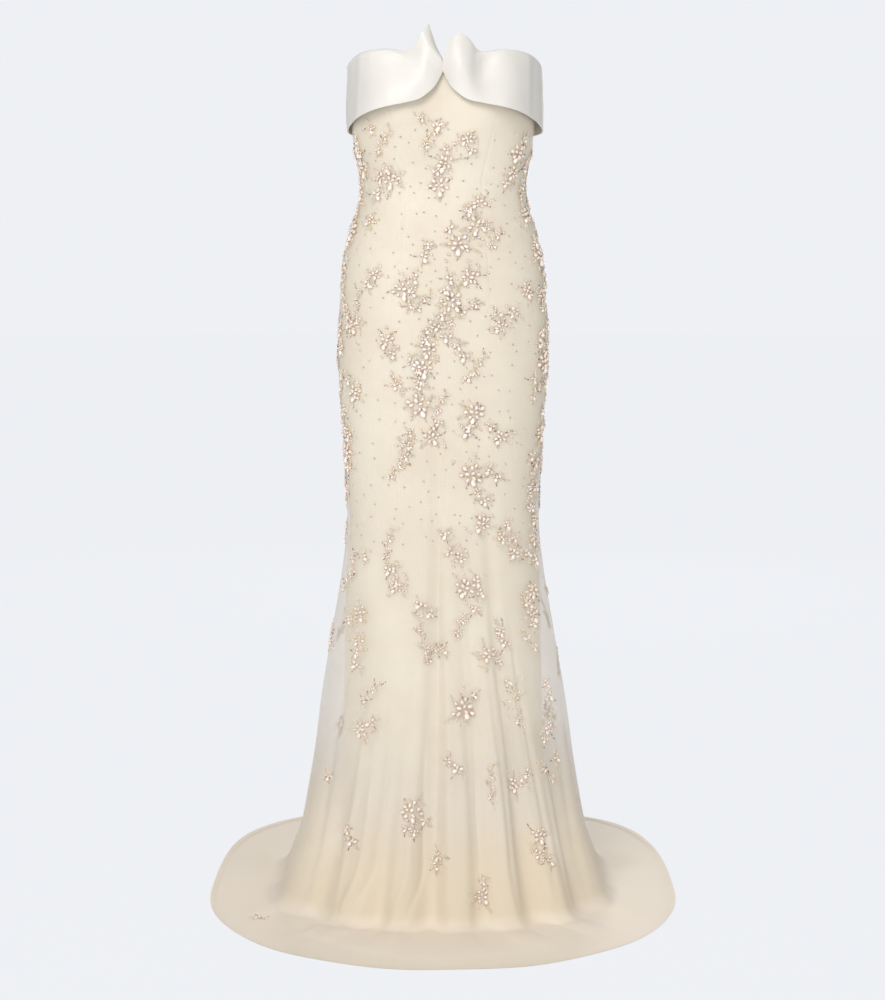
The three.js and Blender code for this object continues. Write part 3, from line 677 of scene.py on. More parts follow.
# Tone of the doubled net near the floor, partly painted shade: darker from about 11 to 2.5 cm above the
# floor, lighter again where it lies flat.
foot_tones_and_painted_shade = ((0.3, "EADECB"), (0.64, "E0D2BA"), (0.92, "E0D2BA"), (0.985, "EDE0CD"))
doubled_tone_and_painted_shade = add_node(
    tree,
    "ShaderNodeMix",
    {
        "Factor": lying,
        "A": clouds(tree, 9.0, 3.0, "E8DDCF", "EFE7DA", 0.15),
        "B": ramp(tree, passage(tree, height, DENSE_FROM, FLOOR), *foot_tones_and_painted_shade),
    },
    data_type="RGBA",
)
finish_material(
    tree,
    {
        "Base Color": doubled_tone_and_painted_shade.outputs["Result"],
        "Roughness": 0.6,
        "Alpha": weave.outputs["Value"],
        "Sheen Weight": 0.2,
        "Specular IOR Level": 0.4,
        "Normal": relief(tree, thread, strength=0.15, distance=0.0004),
    },
)
print("tulle cells are", NET_CELL / MM, "mm wide")

# %% [markdown]
# ## Lining
# The lining is an opaque polyester satin worn with its matt side out: warm ivory, with a fine
# twill that only shows as a soft break in the light. Thread lines lie 0.6 mm apart.

# %% Lining material
LINING_THREAD = 0.0006
WAVES_PER_SCALE = 20

lining_cloth, tree = new_material("matt_satin_lining")
cut = add_node(tree, "ShaderNodeUVMap", uv_map="cut").outputs["UV"]
twill = add_node(
    tree,
    "ShaderNodeTexWave",
    {"Vector": cut, "Scale": 1 / LINING_THREAD / WAVES_PER_SCALE, "Distortion": 1.0, "Detail": 1.0},
    bands_direction="DIAGONAL",
)
finish_material(
    tree,
    {
        "Base Color": clouds(tree, 6.0, 2.0, "EBE2CB", "F2EAD7", 0.2),
        "Roughness": 0.5,
        "Sheen Weight": 0.1,
        "Normal": relief(tree, twill.outputs["Fac"], strength=0.06, distance=0.0002),
    },
)
print("lining threads lie", LINING_THREAD / MM, "mm apart")

# %% Cut and hang the panels
PANELS = [
    {"part": "front", "start": -90, "end": 90, "node": "front_panel"},
    {"part": "back_right", "start": 90, "end": 180, "node": "back_panel_right"},
    {"part": "back_left", "start": -180, "end": -90, "node": "back_panel_left"},
]


def strip(sheet, angles, start, end):
    inside = (angles >= start - 1e-6) & (angles <= end + 1e-6)
    return sheet[:, inside]


for panel in PANELS:
    cloth = cloth_panel(
        "tulle_" + panel["part"], strip(tulle_face, tulle_angles, panel["start"], panel["end"]), tulle_cloth
    )
    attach(cloth, "body")
    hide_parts(panel["node"])

left_seam, right_seam = LINING_COLUMNS // 4, 3 * LINING_COLUMNS // 4
around_back = np.concatenate([lining_face[:, right_seam:-1], lining_face[:, : left_seam + 1]], axis=1)
lining_front = cloth_panel("lining_front", lining_face[:, left_seam : right_seam + 1], lining_cloth)
lining_back = cloth_panel("lining_back", around_back, lining_cloth)
for cloth, node in ((lining_front, "lining_skirt_front"), (lining_back, "lining_skirt_back")):
    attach(cloth, "body")
    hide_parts(node)

# %% [markdown]
# ## Satin collar
# The collar is a band of stiffened duchess satin, turned down over the top edge. Each half runs
# from the centre back to the centre front, where it ends in a free petal: the left one pointed and
# upright, the right one rounded and rolled forward with a soft slanting crease. A grid is laid on
# the band, and a Solidify modifier gives it the thickness of two layers with their stiffening.

# %% Collar tables
COLLAR_TOP = TOP_HEIGHT + 7
COLLAR_ROLL = 4.3
COLLAR_STANDS = {
    "front": {"high": 6, "low": 12},
    -1: {"high": 5, "low": 4.2},
    1: {"high": 7.5, "low": 14},
}
COLLAR_BACK_GAP = 5.2
SATIN_WALL = 2.2
COLLAR_DROPS = table(
    "angle drop",
    (0, 29.5),
    (6, 53.5),
    (11, 65.5),
    (17, 75),
    (26, 80.5),
    (37, 85.5),
    (52, 93.5),
    (65, 102.5),
    (76, 111.5),
    (88, 118.5),
    (112, 125.5),
    (180, 128.5),
)
POINTED_PETAL = table(
    "low high rise low_stand high_stand belly turn bow meet",
    (0.25, 12.3, 34.5, 1.5, 9, 2, 0, 0.6, 1),
    (5, 15.6, 23, 6, 8, 4, 0, 0.66, 0.6),
    (10, 19.6, 10.5, 9, 7, 5, 0, 0.72, 0.25),
    (16, 24, 3, 11, 6, 4, 0.12, 0.85, 0),
    (23, 28.5, 0.5, 12, 6, 2, 0.42, 1, 0),
    (31, 35, -0.5, 12, 6, 0, 0.78, 1, 0),
)
ROUNDED_PETAL = table(
    "low high rise low_stand high_stand belly turn bow meet",
    (0.25, 5.2, 10, 1.5, 7, 4, 0, 1, 1),
    (5, 9, 17.5, 6, 9, 8, 0, 1, 0.3),
    (10, 13.5, 20, 9, 10, 9, 0, 1, 0),
    (16, 18.5, 14.5, 11, 9, 7, 0.06, 1, 0),
    (23, 23.5, 3.5, 12, 7, 4, 0.3, 1, 0),
    (31, 30.5, -0.5, 12, 6, 1, 0.74, 1, 0),
)
BAND = {"rise": 0, "low_stand": 12, "high_stand": 6, "belly": 0, "turn": 1, "bow": 1, "meet": 0}
BACK_END = 180 - COLLAR_BACK_GAP


def collar_rows(petal):
    """The petal's rows, carried on round the body to the centre back."""
    last = petal[-1]
    shares = [0.06, 0.2, 0.4, 0.6, 0.8, 1]
    plain = [
        {**BAND, **{end: last[end] + (BACK_END - last[end]) * share for end in ("low", "high")}}
        for share in shares
    ]
    return petal + plain


def collar_sheet(side, petal, columns=150, turned=12, hanging=40):
    """Inner face of one half, from the centre front to the centre back, top to bottom.

    Its rows pass over the turned edge first and then hang. Where the petal stands free, the same
    rows rise straight from the hanging edge to the petal's tip.
    """
    rows = collar_rows(petal)
    spacing = np.linspace(0, 1, columns) ** 1.35
    low = petal[0]["low"] + (BACK_END - petal[0]["low"]) * spacing
    read = {name: read_rows(rows, name, low, key="low") for name in rows[0]}
    turn = np.clip(read["turn"], 0, 1)
    low_height = COLLAR_TOP - read_rows(COLLAR_DROPS, "drop", low, key="angle")
    rolled, total = 3, 9

    def bodice(angle, height):
        height = np.minimum(height, top_edge(angle))
        return gown_radius(side * angle, height) - seam_depth(side * angle, height) + GOWN_WALL

    def placed(angle, radius, height):
        turned_angle = np.radians(side * angle)
        return np.stack(
            [radius * np.sin(turned_angle), -radius * np.cos(turned_angle), height - WAIST_HEIGHT], axis=-1
        )

    edge = top_edge(read["high"])
    turn_radius = bodice(read["high"], edge) - GOWN_WALL + SEAM_GAP
    over_steps = np.linspace(0, rolled, turned + 1)[:-1]
    steps = np.concatenate([over_steps, np.linspace(rolled, total, hanging + 1)])
    sheet = []
    for step in steps:
        share = step / total
        joined = np.clip(1 - share / 0.8, 0, 1) ** 1.2
        parted = (1 - read["meet"]) * (1 - share ** read["bow"]) + read["meet"] * joined
        angle = low + (read["high"] - low) * parted
        height = COLLAR_TOP + read["rise"] + (low_height - COLLAR_TOP - read["rise"]) * share
        stand = read["high_stand"] + (read["low_stand"] - read["high_stand"]) * share
        stand = stand + read["belly"] * math.sin(math.pi * share)
        free = placed(angle, bodice(angle, height) + stand, height)
        if step < rolled:
            over = math.pi * (1 - step / rolled)
            radius = turn_radius + COLLAR_ROLL * (1 + math.cos(over))
            held = placed(read["high"], radius, edge + SEAM_GAP + COLLAR_ROLL * math.sin(over))
        else:
            fall = (step - rolled) / (total - rolled)
            angle = read["high"] + (low - read["high"]) * fall
            height = edge + SEAM_GAP + (low_height - edge - SEAM_GAP) * fall
            turned = np.sin(np.radians(angle)) ** 2
            front, beside = (
                place["high"] + (place["low"] - place["high"]) * fall
                for place in (COLLAR_STANDS["front"], COLLAR_STANDS[side])
            )
            radius = bodice(angle, height) + front + (beside - front) * turned
            held = placed(angle, radius, height)
        sheet.append(free + (held - free) * turn[:, None])
    return np.array(sheet)


print("collar hangs", COLLAR_DROPS[-1]["drop"], "mm at the centre back")

# %% [markdown]
# The satin moves in a few broad creases. The slanting one on the rounded petal throws the brightest
# part forward, with a grey valley behind it. The pointed petal's free edge curls back a little. The
# stiffened band lies flat across the front and turns round the body in a soft pressed corner, so
# each side shows as a narrow grey strip.

# %% Creases in the satin
SATIN_CREASES = table(
    "side x1 z1 x2 z2 width depth",
    (1, 76, 1342, 49, 1252, 16, -5.5),
    (1, 46, 1352, 20, 1272, 15, 4.5),
    (1, 104, 1320, 84, 1240, 18, 1.6),
    (-1, 70, 1318, 46, 1245, 22, 1.5),
    (-1, 30, 1345, 22, 1262, 10, 1.2),
)
CURL = {"foot": 1302, "reach": 34, "width": 15}
SIDE_TURNS = {
    -1: {"corner": 129, "slope": 0.72, "top_in": 3, "foot_in": -1},
    1: {"corner": 131, "slope": 0.06, "top_in": 0, "foot_in": 2},
}


def creased(sheet, side):
    """The sheet with the creases of the front pressed in, and its free front edge curled back."""
    around = np.gradient(sheet, axis=1)
    normal = np.cross(np.gradient(sheet, axis=0), around) * side
    normal /= np.linalg.norm(normal, axis=2, keepdims=True)
    x = sheet[..., 0] * side
    z = sheet[..., 2] + WAIST_HEIGHT
    facing = smooth(-sheet[..., 1] / 30)
    depth = np.zeros_like(x)
    for crease in SATIN_CREASES:
        if crease["side"] != side:
            continue
        along = np.array([crease["x2"] - crease["x1"], crease["z2"] - crease["z1"]], float)
        length = np.linalg.norm(along)
        along /= length
        dx, dz = x - crease["x1"], z - crease["z1"]
        share = (dx * along[0] + dz * along[1]) / length
        away = (dx * along[1] - dz * along[0]) / crease["width"]
        held = smooth(0.5 + 0.5 * np.cos(np.pi * np.clip(2 * share - 1, -1.25, 1.25) / 1.25))
        depth += crease["depth"] * held * np.exp(-(away**2))
    if side < 0:
        edge = np.linalg.norm(sheet - sheet[:, :1], axis=2)
        curl = 0.5 + CURL["width"] * smooth((z - CURL["foot"]) / CURL["reach"])
        depth -= 0.8 * curl * np.clip(1 - edge / curl, 0, 1) ** 1.6
    waves = 0.5 * np.sin(x / 13 + z / 29) * facing
    pressed = sheet + normal * ((depth * facing + waves)[..., None])
    turn = SIDE_TURNS[side]
    ahead = 7 * smooth((x - 55) / 55) * (1 - smooth((x - turn["corner"] + 4) / 10))
    back = turn["slope"] * np.maximum(x - turn["corner"] - 1, 0)
    pressed[..., 1] += (back - ahead) * smooth(-sheet[..., 1] / 24)
    upper = smooth((z - 1215) / 95)
    inward = turn["foot_in"] + (turn["top_in"] - turn["foot_in"]) * upper
    pressed[..., 0] -= side * inward * smooth((x - 105) / 28)
    return pressed, normal


# %% [markdown]
# Duchess satin is heavy silk or polyester with long floats on its face: close to white, smooth, and
# with a broad soft gleam instead of a sharp shine. The floats run along the band, so a fine stretched
# grain breaks the gleam in one direction. Thread lines are drawn 0.5 mm apart.

# %% Satin material
FLOAT_LENGTH, FLOAT_GAP = 0.004, 0.0005

satin_cloth, tree = new_material("duchess_satin")
cut = add_node(tree, "ShaderNodeUVMap", uv_map="cut").outputs["UV"]
stretch = add_node(
    tree, "ShaderNodeMapping", {"Vector": cut, "Scale": (1 / FLOAT_LENGTH, 1 / FLOAT_GAP, 1.0)}
)
floats = add_node(
    tree, "ShaderNodeTexNoise", {"Vector": stretch.outputs["Vector"], "Scale": 1.0, "Detail": 2.0}
)
finish_material(
    tree,
    {
        "Base Color": clouds(tree, 14.0, 2.0, "DBD7CF", "E2DED6", 0.2),
        "Roughness": 0.42,
        "Sheen Weight": 0.12,
        "Specular IOR Level": 0.45,
        "Normal": relief(tree, floats.outputs["Fac"], strength=0.05, distance=0.0002),
    },
)
print("satin floats lie", FLOAT_GAP / MM, "mm apart")

# %% Sew the collar on
for side, name, petal in ((-1, "collar_left", POINTED_PETAL), (1, "collar_right", ROUNDED_PETAL)):
    pressed, normal = creased(collar_sheet(side, petal), side)
    middle = pressed + normal * SATIN_WALL / 2
    collar = cloth_panel(name + "_satin", middle if side > 0 else middle[:, ::-1], satin_cloth)
    wall = collar.modifiers.new("two layers", "SOLIDIFY")
    wall.thickness = 1.9 * MM
    wall.offset = 0
    rim = collar.modifiers.new("pressed edge", "BEVEL")
    rim.width = 0.7 * MM
    rim.segments = 2
    rim.limit_method = "ANGLE"
    rim.angle_limit = math.radians(60)
    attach(collar, "body")
    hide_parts(name)

# %% [markdown]
# ## Beaded sprays
# The tulle is embroidered with small sprays: flowers of pearly pear-shaped crystals round a gold
# bead, leaves outlined in champagne seed beads, and short curved rows of smoky brown beads. The
# motifs are of a common kind, so each spray is drawn here from a few rules and a little seeded
# chance. On the front they stand where the photograph has one; the kinds and sizes of the small ones
# are chosen freely, and so are all at the side seams and on the back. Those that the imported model
# carries as raised shapes come first, and the beads cover them.

# %% Where the sprays lie
RAISED_SPRAYS = table(
    "kind angle height size turn",
    ("sprig", -9, 1200, 22, 60),
    ("blossom", 1, 1166, 14, 10),
    ("blossom", -3, 1127, 16, 30),
    ("sprig", -47, 1188, 20, 50),
    ("blossom", -48, 1135, 15, 0),
    ("blossom", -74, 1154, 14, 20),
    ("blossom", 63, 1177, 16, 15),
    ("blossom", 31, 1066, 15, 5),
    ("blossom", 15, 1039, 17, 25),
    ("blossom", -33, 971, 16, 35),
    ("blossom", 23, 990, 15, 0),
    ("blossom", 7, 955, 17, 15),
    ("sprig", 14, 929, 22, 40),
    ("blossom", -44, 895, 14, 10),
    ("sprig", -62, 940, 22, 100),
    ("blossom", -17, 854, 16, 30),
    ("blossom", -21, 799, 18, 0),
    ("blossom", 27, 785, 16, 20),
    ("blossom", 79, 1021, 17, 10),
    ("blossom", 76, 858, 17, 40),
    ("blossom", -79, 1056, 15, 30),
    ("blossom", -78, 717, 16, 5),
    ("blossom", 25, 691, 18, 40),
    ("blossom", 34, 613, 15, 10),
    ("blossom", 19, 515, 16, 0),
    ("sprig", -14, 440, 26, 110),
    ("blossom", 13, 333, 18, 45),
    ("sprig", 48, 331, 28, 90),
    ("blossom", -17, 180, 18, 35),
    ("sprig", 28, 216, 24, 85),
)
RAISED_BACK_SPRAYS = table(
    "kind angle height size turn",
    ("blossom", 112, 1145, 15, 10),
    ("sprig", 140, 1172, 22, 60),
    ("blossom", 118, 1033, 16, 0),
    ("blossom", 166, 965, 16, 20),
    ("blossom", 128, 916, 17, 45),
    ("blossom", 154, 828, 16, 15),
    ("sprig", 158, 682, 24, 100),
    ("blossom", 152, 425, 17, 25),
    ("sprig", 112, 446, 24, 70),
    ("blossom", 128, 261, 17, 40),
)
SMALL_SPRAYS = table(
    "kind angle height size turn",
    ("bud", -4, 1227, 11, 135),
    ("blossom", 20, 1197, 12, 135),
    ("blossom", -73, 1179, 11, 30),
    ("blossom", -57, 1140, 11, 150),
    ("bud", -61, 1113, 11, 15),
    ("blossom", -63, 1074, 11, 135),
    ("blossom", -88, 1062, 14, 135),
    ("blossom", 63, 1146, 12, 0),
    ("blossom", 75, 1080, 14, 120),
    ("blossom", 35, 1101, 13, 120),
    ("sprig", 46, 1044, 14, 50),
    ("bud", -17, 1020, 10, 15),
    ("blossom", -53, 993, 11, 0),
    ("bud", 6, 987, 10, 15),
    ("bud", -25, 987, 10, 15),
    ("sprig", -17, 951, 14, 50),
    ("blossom", -10, 915, 12, 0),
    ("bud", 3, 900, 11, 120),
    ("blossom", -13, 882, 14, 30),
    ("blossom", 63, 966, 12, 90),
    ("blossom", 53, 936, 11, 60),
    ("blossom", 44, 915, 12, 135),
    ("bud", 78, 954, 9, 45),
    ("bud", 73, 885, 11, 75),
    ("sprig", 71, 813, 14, 50),
    ("blossom", -88, 861, 12, 75),
    ("sprig", -89, 780, 16, 95),
    ("bud", -84, 747, 9, 150),
    ("blossom", -87, 711, 13, 45),
    ("blossom", -89, 669, 12, 90),
    ("bud", -87, 639, 9, 15),
    ("blossom", -89, 579, 11, 165),
    ("bud", 18, 870, 11, 105),
    ("sprig", 30, 855, 14, 65),
    ("bud", -26, 861, 9, 45),
    ("blossom", -20, 837, 11, 105),
    ("blossom", -37, 828, 11, 60),
    ("sprig", -1, 798, 14, 65),
    ("blossom", -66, 812, 14, 0),
    ("blossom", -67, 914, 13, 50),
    ("blossom", -10, 750, 14, 60),
    ("blossom", -31, 735, 11, 15),
    ("sprig", -38, 696, 16, 50),
    ("bud", 22, 756, 11, 165),
    ("blossom", 46, 747, 13, 150),
    ("bud", 45, 684, 9, 105),
    ("bud", 37, 648, 10, 135),
    ("blossom", 49, 591, 11, 150),
    ("blossom", 56, 567, 13, 75),
    ("bud", 3, 597, 10, 120),
    ("blossom", 15, 561, 11, 15),
    ("bud", 28, 525, 11, 15),
    ("bud", 26, 483, 9, 75),
    ("sprig", 15, 456, 16, 65),
    ("sprig", -44, 576, 20, 80),
    ("bud", -43, 540, 11, 90),
    ("blossom", -37, 516, 12, 135),
    ("sprig", -69, 543, 16, 95),
    ("sprig", -74, 513, 14, 65),
    ("blossom", -60, 471, 14, 45),
    ("bud", -18, 489, 11, 75),
    ("bud", 70, 714, 9, 0),
    ("sprig", 73, 678, 18, 80),
    ("sprig", 71, 645, 16, 95),
    ("blossom", 75, 612, 11, 30),
    ("blossom", 73, 582, 11, 150),
    ("bud", 72, 549, 11, 45),
    ("blossom", 66, 504, 14, 165),
    ("blossom", 64, 468, 14, 45),
    ("sprig", 60, 429, 16, 130),
    ("blossom", 43, 447, 11, 90),
    ("blossom", 32, 414, 14, 150),
    ("blossom", -84, 420, 14, 75),
    ("blossom", -58, 429, 11, 45),
    ("bud", -57, 390, 11, 75),
    ("sprig", -46, 348, 18, 50),
    ("blossom", -49, 294, 14, 90),
    ("sprig", -8, 414, 14, 50),
    ("bud", 8, 243, 11, 75),
    ("blossom", 41, 213, 14, 165),
    ("bud", 66, 339, 11, 165),
    ("blossom", 63, 291, 12, 120),
    ("sprig", 59, 225, 18, 130),
    ("bud", -64, 213, 9, 120),
    ("bud", -11, 162, 9, 90),
    ("bud", -44, 126, 11, 90),
    ("blossom", -2, 111, 11, 135),
    ("blossom", 47, 135, 14, 30),
    ("blossom", 46, 108, 11, 60),
    ("blossom", 18.6, 50, 14, 60),
)
FLOOR_SPRAYS = table(
    "kind angle share size turn",
    ("bud", -64, 0.39, 9, 10),
    ("blossom", 158, 0.6, 13, 0),
    ("blossom", -160, 0.4, 13, 30),
)
rng = random.Random(7)


def spray_row(*values):
    """One spray of the tables' kind, with its values drawn in their order."""
    return dict(zip(("kind", "angle", "height", "size", "turn"), values))


def mirrored(row):
    return {**row, "angle": -row["angle"] - 5, "height": row["height"] - 26, "turn": 180 - row["turn"]}


SEAM_SPRAYS = {"count": 27, "top": 1186, "apart": 21}
SEAM_SIZES = {"blossom": 12, "bud": 9, "sprig": 14}
BACK_SCATTER = ((700, 17, 0.6), (480, 20, 0.5), (0, 28, 0.4))
BACK_SIZES = {"blossom": 12.5, "bud": 10, "sprig": 17}


def side_sprays():
    """Dense sprays down both side seams, a little uneven in place and size."""
    rows = []
    for side in (-1, 1):
        for step in range(SEAM_SPRAYS["count"]):
            kind = rng.choice(["blossom", "bud", "bud", "sprig"])
            row = spray_row(
                kind,
                side * ((80 if step % 2 else 92) + rng.uniform(-5, 5)),
                SEAM_SPRAYS["top"] - SEAM_SPRAYS["apart"] * step + rng.uniform(-8, 8),
                SEAM_SIZES[kind] + rng.uniform(-1, 2),
                rng.uniform(60, 120) if kind == "sprig" else rng.uniform(0, 180),
            )
            rows.append(row)
    return rows


def back_sprays():
    """The hidden back, less densely beaded than the front, and less still lower down.

    Above each height of the scatter table, sprays lie so many degrees apart, with that chance.
    """
    rows = []
    for height in range(1175, 80, -52):
        step, chance = next(row[1:] for row in BACK_SCATTER if height > row[0])
        for angle in range(104, 260, step):
            if rng.random() >= chance:
                continue
            kind = rng.choice(["blossom", "bud", "sprig"])
            row = spray_row(
                kind,
                angle + rng.uniform(-6, 6),
                height + rng.uniform(-20, 20),
                BACK_SIZES[kind] + rng.uniform(-1, 1.5),
                rng.uniform(50, 130) if kind == "sprig" else rng.uniform(0, 180),
            )
            rows.append(row)
    return [row for row in rows if abs(turn_between(row["angle"], 180)) > 7 or row["height"] < 1150]


def beside(rows):
    """A small spray close to about half of the front ones, so that they run together in vines."""
    made = []
    for row in rows:
        if rng.random() < 0.58:
            away = 1.1 * row["size"] + 7
            bearing = math.radians(rng.choice([60, 120, 240, 300]) + rng.uniform(-25, 25))
            radius = float(gown_radius(row["angle"], row["height"]))
            angle = row["angle"] + math.degrees(away * math.cos(bearing) / radius)
            height = row["height"] + away * math.sin(bearing)
            made.append(spray_row("bud", angle, height, rng.uniform(7.5, 9.5), rng.uniform(0, 180)))
    return made


sprays = RAISED_SPRAYS + RAISED_BACK_SPRAYS + [mirrored(row) for row in RAISED_BACK_SPRAYS]
sprays += SMALL_SPRAYS + beside(RAISED_SPRAYS + SMALL_SPRAYS)
sprays += side_sprays() + back_sprays() + FLOOR_SPRAYS
print(len(sprays), "sprays")

# %% [markdown]
# ## Drawing one spray
# A spray is first drawn flat, in millimetres across and up from its middle. Each bead is one row:
# what it is, where it lies, which way it points and its length, width and height.

# %% Flowers, leaves and rows of beads
RIB_STEP, SIDE_STEP, DARK_STEP = 1.9, 1.75, 2.5
GOLDEN_TURN = 137.5


def beyond(x, y, away, bearing):
    return x + away * math.cos(bearing), y + away * math.sin(bearing)


def pearl(x, y, size, bearing):
    """A pear-shaped pearl in its gilt setting, which shows as a thin outline."""
    long = size * rng.uniform(0.92, 1.08)
    wide = long * rng.uniform(0.68, 0.8)
    return [
        ("petal", x, y, bearing, long, wide, 0.5 * long),
        ("setting", x, y, bearing, 1.14 * long, 1.2 * wide, 0.2 * long),
    ]


def seed(x, y, size=1.9, kind="seed"):
    return (kind, x, y, rng.uniform(0, 6), size, size, size * 0.8)


def posy(x, y, size, turn, count):
    """Pearls of uneven size packed round a middle, points outward; the lowest is the brightest."""
    places = []
    for index in range(count):
        bearing = math.radians(turn + GOLDEN_TURN * index + rng.uniform(-14, 14))
        reach = 0.19 * size * math.sqrt(index + 0.35)
        places.append((*beyond(x, y, reach, bearing), bearing))
    lowest = min(places, key=lambda place: place[1])
    beads = [seed(x + 0.6, y + 0.4, 2.2, "gold")]
    for place in places:
        long = size * rng.uniform(0.23, 0.34)
        beads += pearl(*place[:2], 0.4 * size if place is lowest else long, place[2])
        if place is lowest:
            beads[-2] = ("bright", *beads[-2][1:])
        beads.append(seed(*beyond(*place[:2], 0.62 * long, place[2] + 1.4), 1.7, "gold"))
    return beads


def fern(x, y, bearing, length):
    """A feathered leaf: a curved rib of seed beads with short side rows that grow shorter."""
    beads = []
    bend = rng.uniform(-0.035, 0.035)
    steps = max(int(length / RIB_STEP), 4)
    for index in range(steps):
        x, y = beyond(x, y, RIB_STEP, bearing)
        bearing += bend
        beads.append(seed(x, y, rng.uniform(1.5, 1.9), rng.choice(["seed", "seed", "gold"])))
        rows = 2 if index < 0.6 * steps else 1
        for side in (-1, 1) if 0 < index < steps - 1 else ():
            lean = bearing + side * 0.85
            for row in range(1, rows + 1):
                beads.append(seed(*beyond(x, y, SIDE_STEP * row, lean), rng.uniform(1.3, 1.7)))
    return beads


def dark_row(x, y, bearing, count):
    """Short curved row of smoky beads, each a little apart from the next."""
    beads = []
    bend = rng.choice([-0.16, -0.08, 0.1, 0.18])
    for index in range(count):
        kind = "smoky" if index % 3 or count < 3 else "seed"
        beads.append((kind, x, y, bearing, 2.3, 1.9, 1.7))
        x, y = beyond(x, y, DARK_STEP, bearing)
        bearing += bend
    return beads


def trail(size, heading, count):
    """Small pearls and seed beads that thin out to one side of a spray."""
    beads = []
    for index in range(count):
        bearing = heading + rng.uniform(-0.9, 0.9)
        x, y = beyond(0, 0, size * (0.5 + 0.95 * index / count), bearing)
        beads += pearl(x, y, rng.uniform(2.4, 4.2), rng.uniform(0, 6.28))
        beads += [seed(x + 2.3, y - 1.3, 1.6, "gold"), seed(x - 1.7, y + 2.0, 1.5)]
        beads.append(seed(x + 0.4, y + 2.9, 1.4))
    return beads


def blossom(size, turn):
    """A posy of pearls, leaves round it, trails of small pearls and a row or two of dark beads."""
    beads = posy(0, 0, size, turn, round(0.42 * size))
    start = rng.uniform(0, 72)
    for index in rng.sample(range(5), 4):
        bearing = math.radians(start + 72 * index + rng.uniform(-18, 18))
        x, y = beyond(0, 0, 0.4 * size, bearing)
        if rng.random() < 0.7:
            beads += fern(x, y, bearing, size * rng.uniform(0.5, 0.95))
        else:
            beads += dark_row(1.2 * x, 1.2 * y, bearing, rng.randint(3, 6))
    heading = math.radians(turn + rng.choice([60, 240]) + rng.uniform(-30, 30))
    return beads + trail(size, heading, rng.randint(4, 6)) + trail(0.8 * size, heading + 2.8, 3)


def bud(size, turn):
    """A few pearls with two leaves on one side and a short trail on the other."""
    beads = posy(0, 0, 1.15 * size, turn, 4)
    bearing = math.radians(turn + 235)
    beads += fern(0, 0, bearing, size) + fern(0, 0, bearing + 0.95, 0.8 * size)
    beads += dark_row(*beyond(0, 0, 0.6 * size, bearing - 1.3), bearing - 1.2, rng.randint(1, 5))
    return beads + trail(0.8 * size, bearing + 3.1, 3)


def sprig(size, turn):
    """A climbing stem: leaves to both sides, pearls in twos and threes, and rows of dark beads."""
    bearing = math.radians(turn)
    step_x, step_y = math.cos(bearing), math.sin(bearing)
    beads = []
    stem = []
    for index in range(int(size)):
        along = -size + 2 * index
        sway = 0.16 * size * math.sin(3.2 * index / size)
        stem.append((along * step_x - sway * step_y, along * step_y + sway * step_x))
        beads.append(seed(*stem[-1], 1.6, rng.choice(["seed", "gold"])))
    side = rng.choice([-1, 1])
    for share in (0.12, 0.3, 0.46, 0.62, 0.78, 0.97):
        x, y = stem[int(share * (len(stem) - 1))]
        side = -side
        lean = bearing + side * rng.uniform(0.5, 0.85)
        if rng.random() < 0.3:
            beads += dark_row(*beyond(x, y, DARK_STEP, lean), lean, rng.randint(4, 6))
        else:
            beads += fern(x, y, lean, size * rng.uniform(0.34, 0.5))
        lean = bearing - side * 1.2
        for apart in range(rng.randint(1, 2)):
            beads += pearl(*beyond(x, y, 3.4 + 3.4 * apart, lean), rng.uniform(3.0, 4.4), lean)
    for share, count in ((0.28, 5), (0.7, 3)):
        x, y = stem[int(share * len(stem))]
        beads += posy(x, y, 13, turn + 90, count)
    return beads


SPRAY_KINDS = {"blossom": blossom, "bud": bud, "sprig": sprig}
print("a blossom has", len(blossom(14, 0)), "beads")

# %% [markdown]
# ## Sewing the beads to the tulle
# Each flat spray is laid onto the sheet of tulle: its across and up are measured as lengths on
# the cloth, so it keeps its size on a curve and on the floor. A few low-poly shapes are then
# copied to every place. The copies of one kind are joined into one mesh, which is light to draw.

# %% Lay a spray on the cloth
fall_lengths = np.concatenate(
    [
        np.zeros((1, TULLE_COLUMNS + 1)),
        np.cumsum(np.linalg.norm(np.diff(tulle_face, axis=0), axis=2), axis=0),
    ]
)
row_heights = np.linspace(TOP_HEIGHT, BEND_HEIGHT, HANGING_ROWS)


def between(grid, column, row):
    """Value of a grid of points at fractions of a column and a row."""
    column, row = column % TULLE_COLUMNS, np.clip(row, 0, len(grid) - 1.001)
    left, upper = np.floor(column).astype(int), np.floor(row).astype(int)
    u, v = (column - left)[:, None], (row - upper)[:, None]
    above = grid[upper, left] * (1 - u) + grid[upper, left + 1] * u
    below = grid[upper + 1, left] * (1 - u) + grid[upper + 1, left + 1] * u
    return above * (1 - v) + below * v


SPRAY_GROWTH = {"blossom": 1.5, "bud": 1.7, "sprig": 1.5}


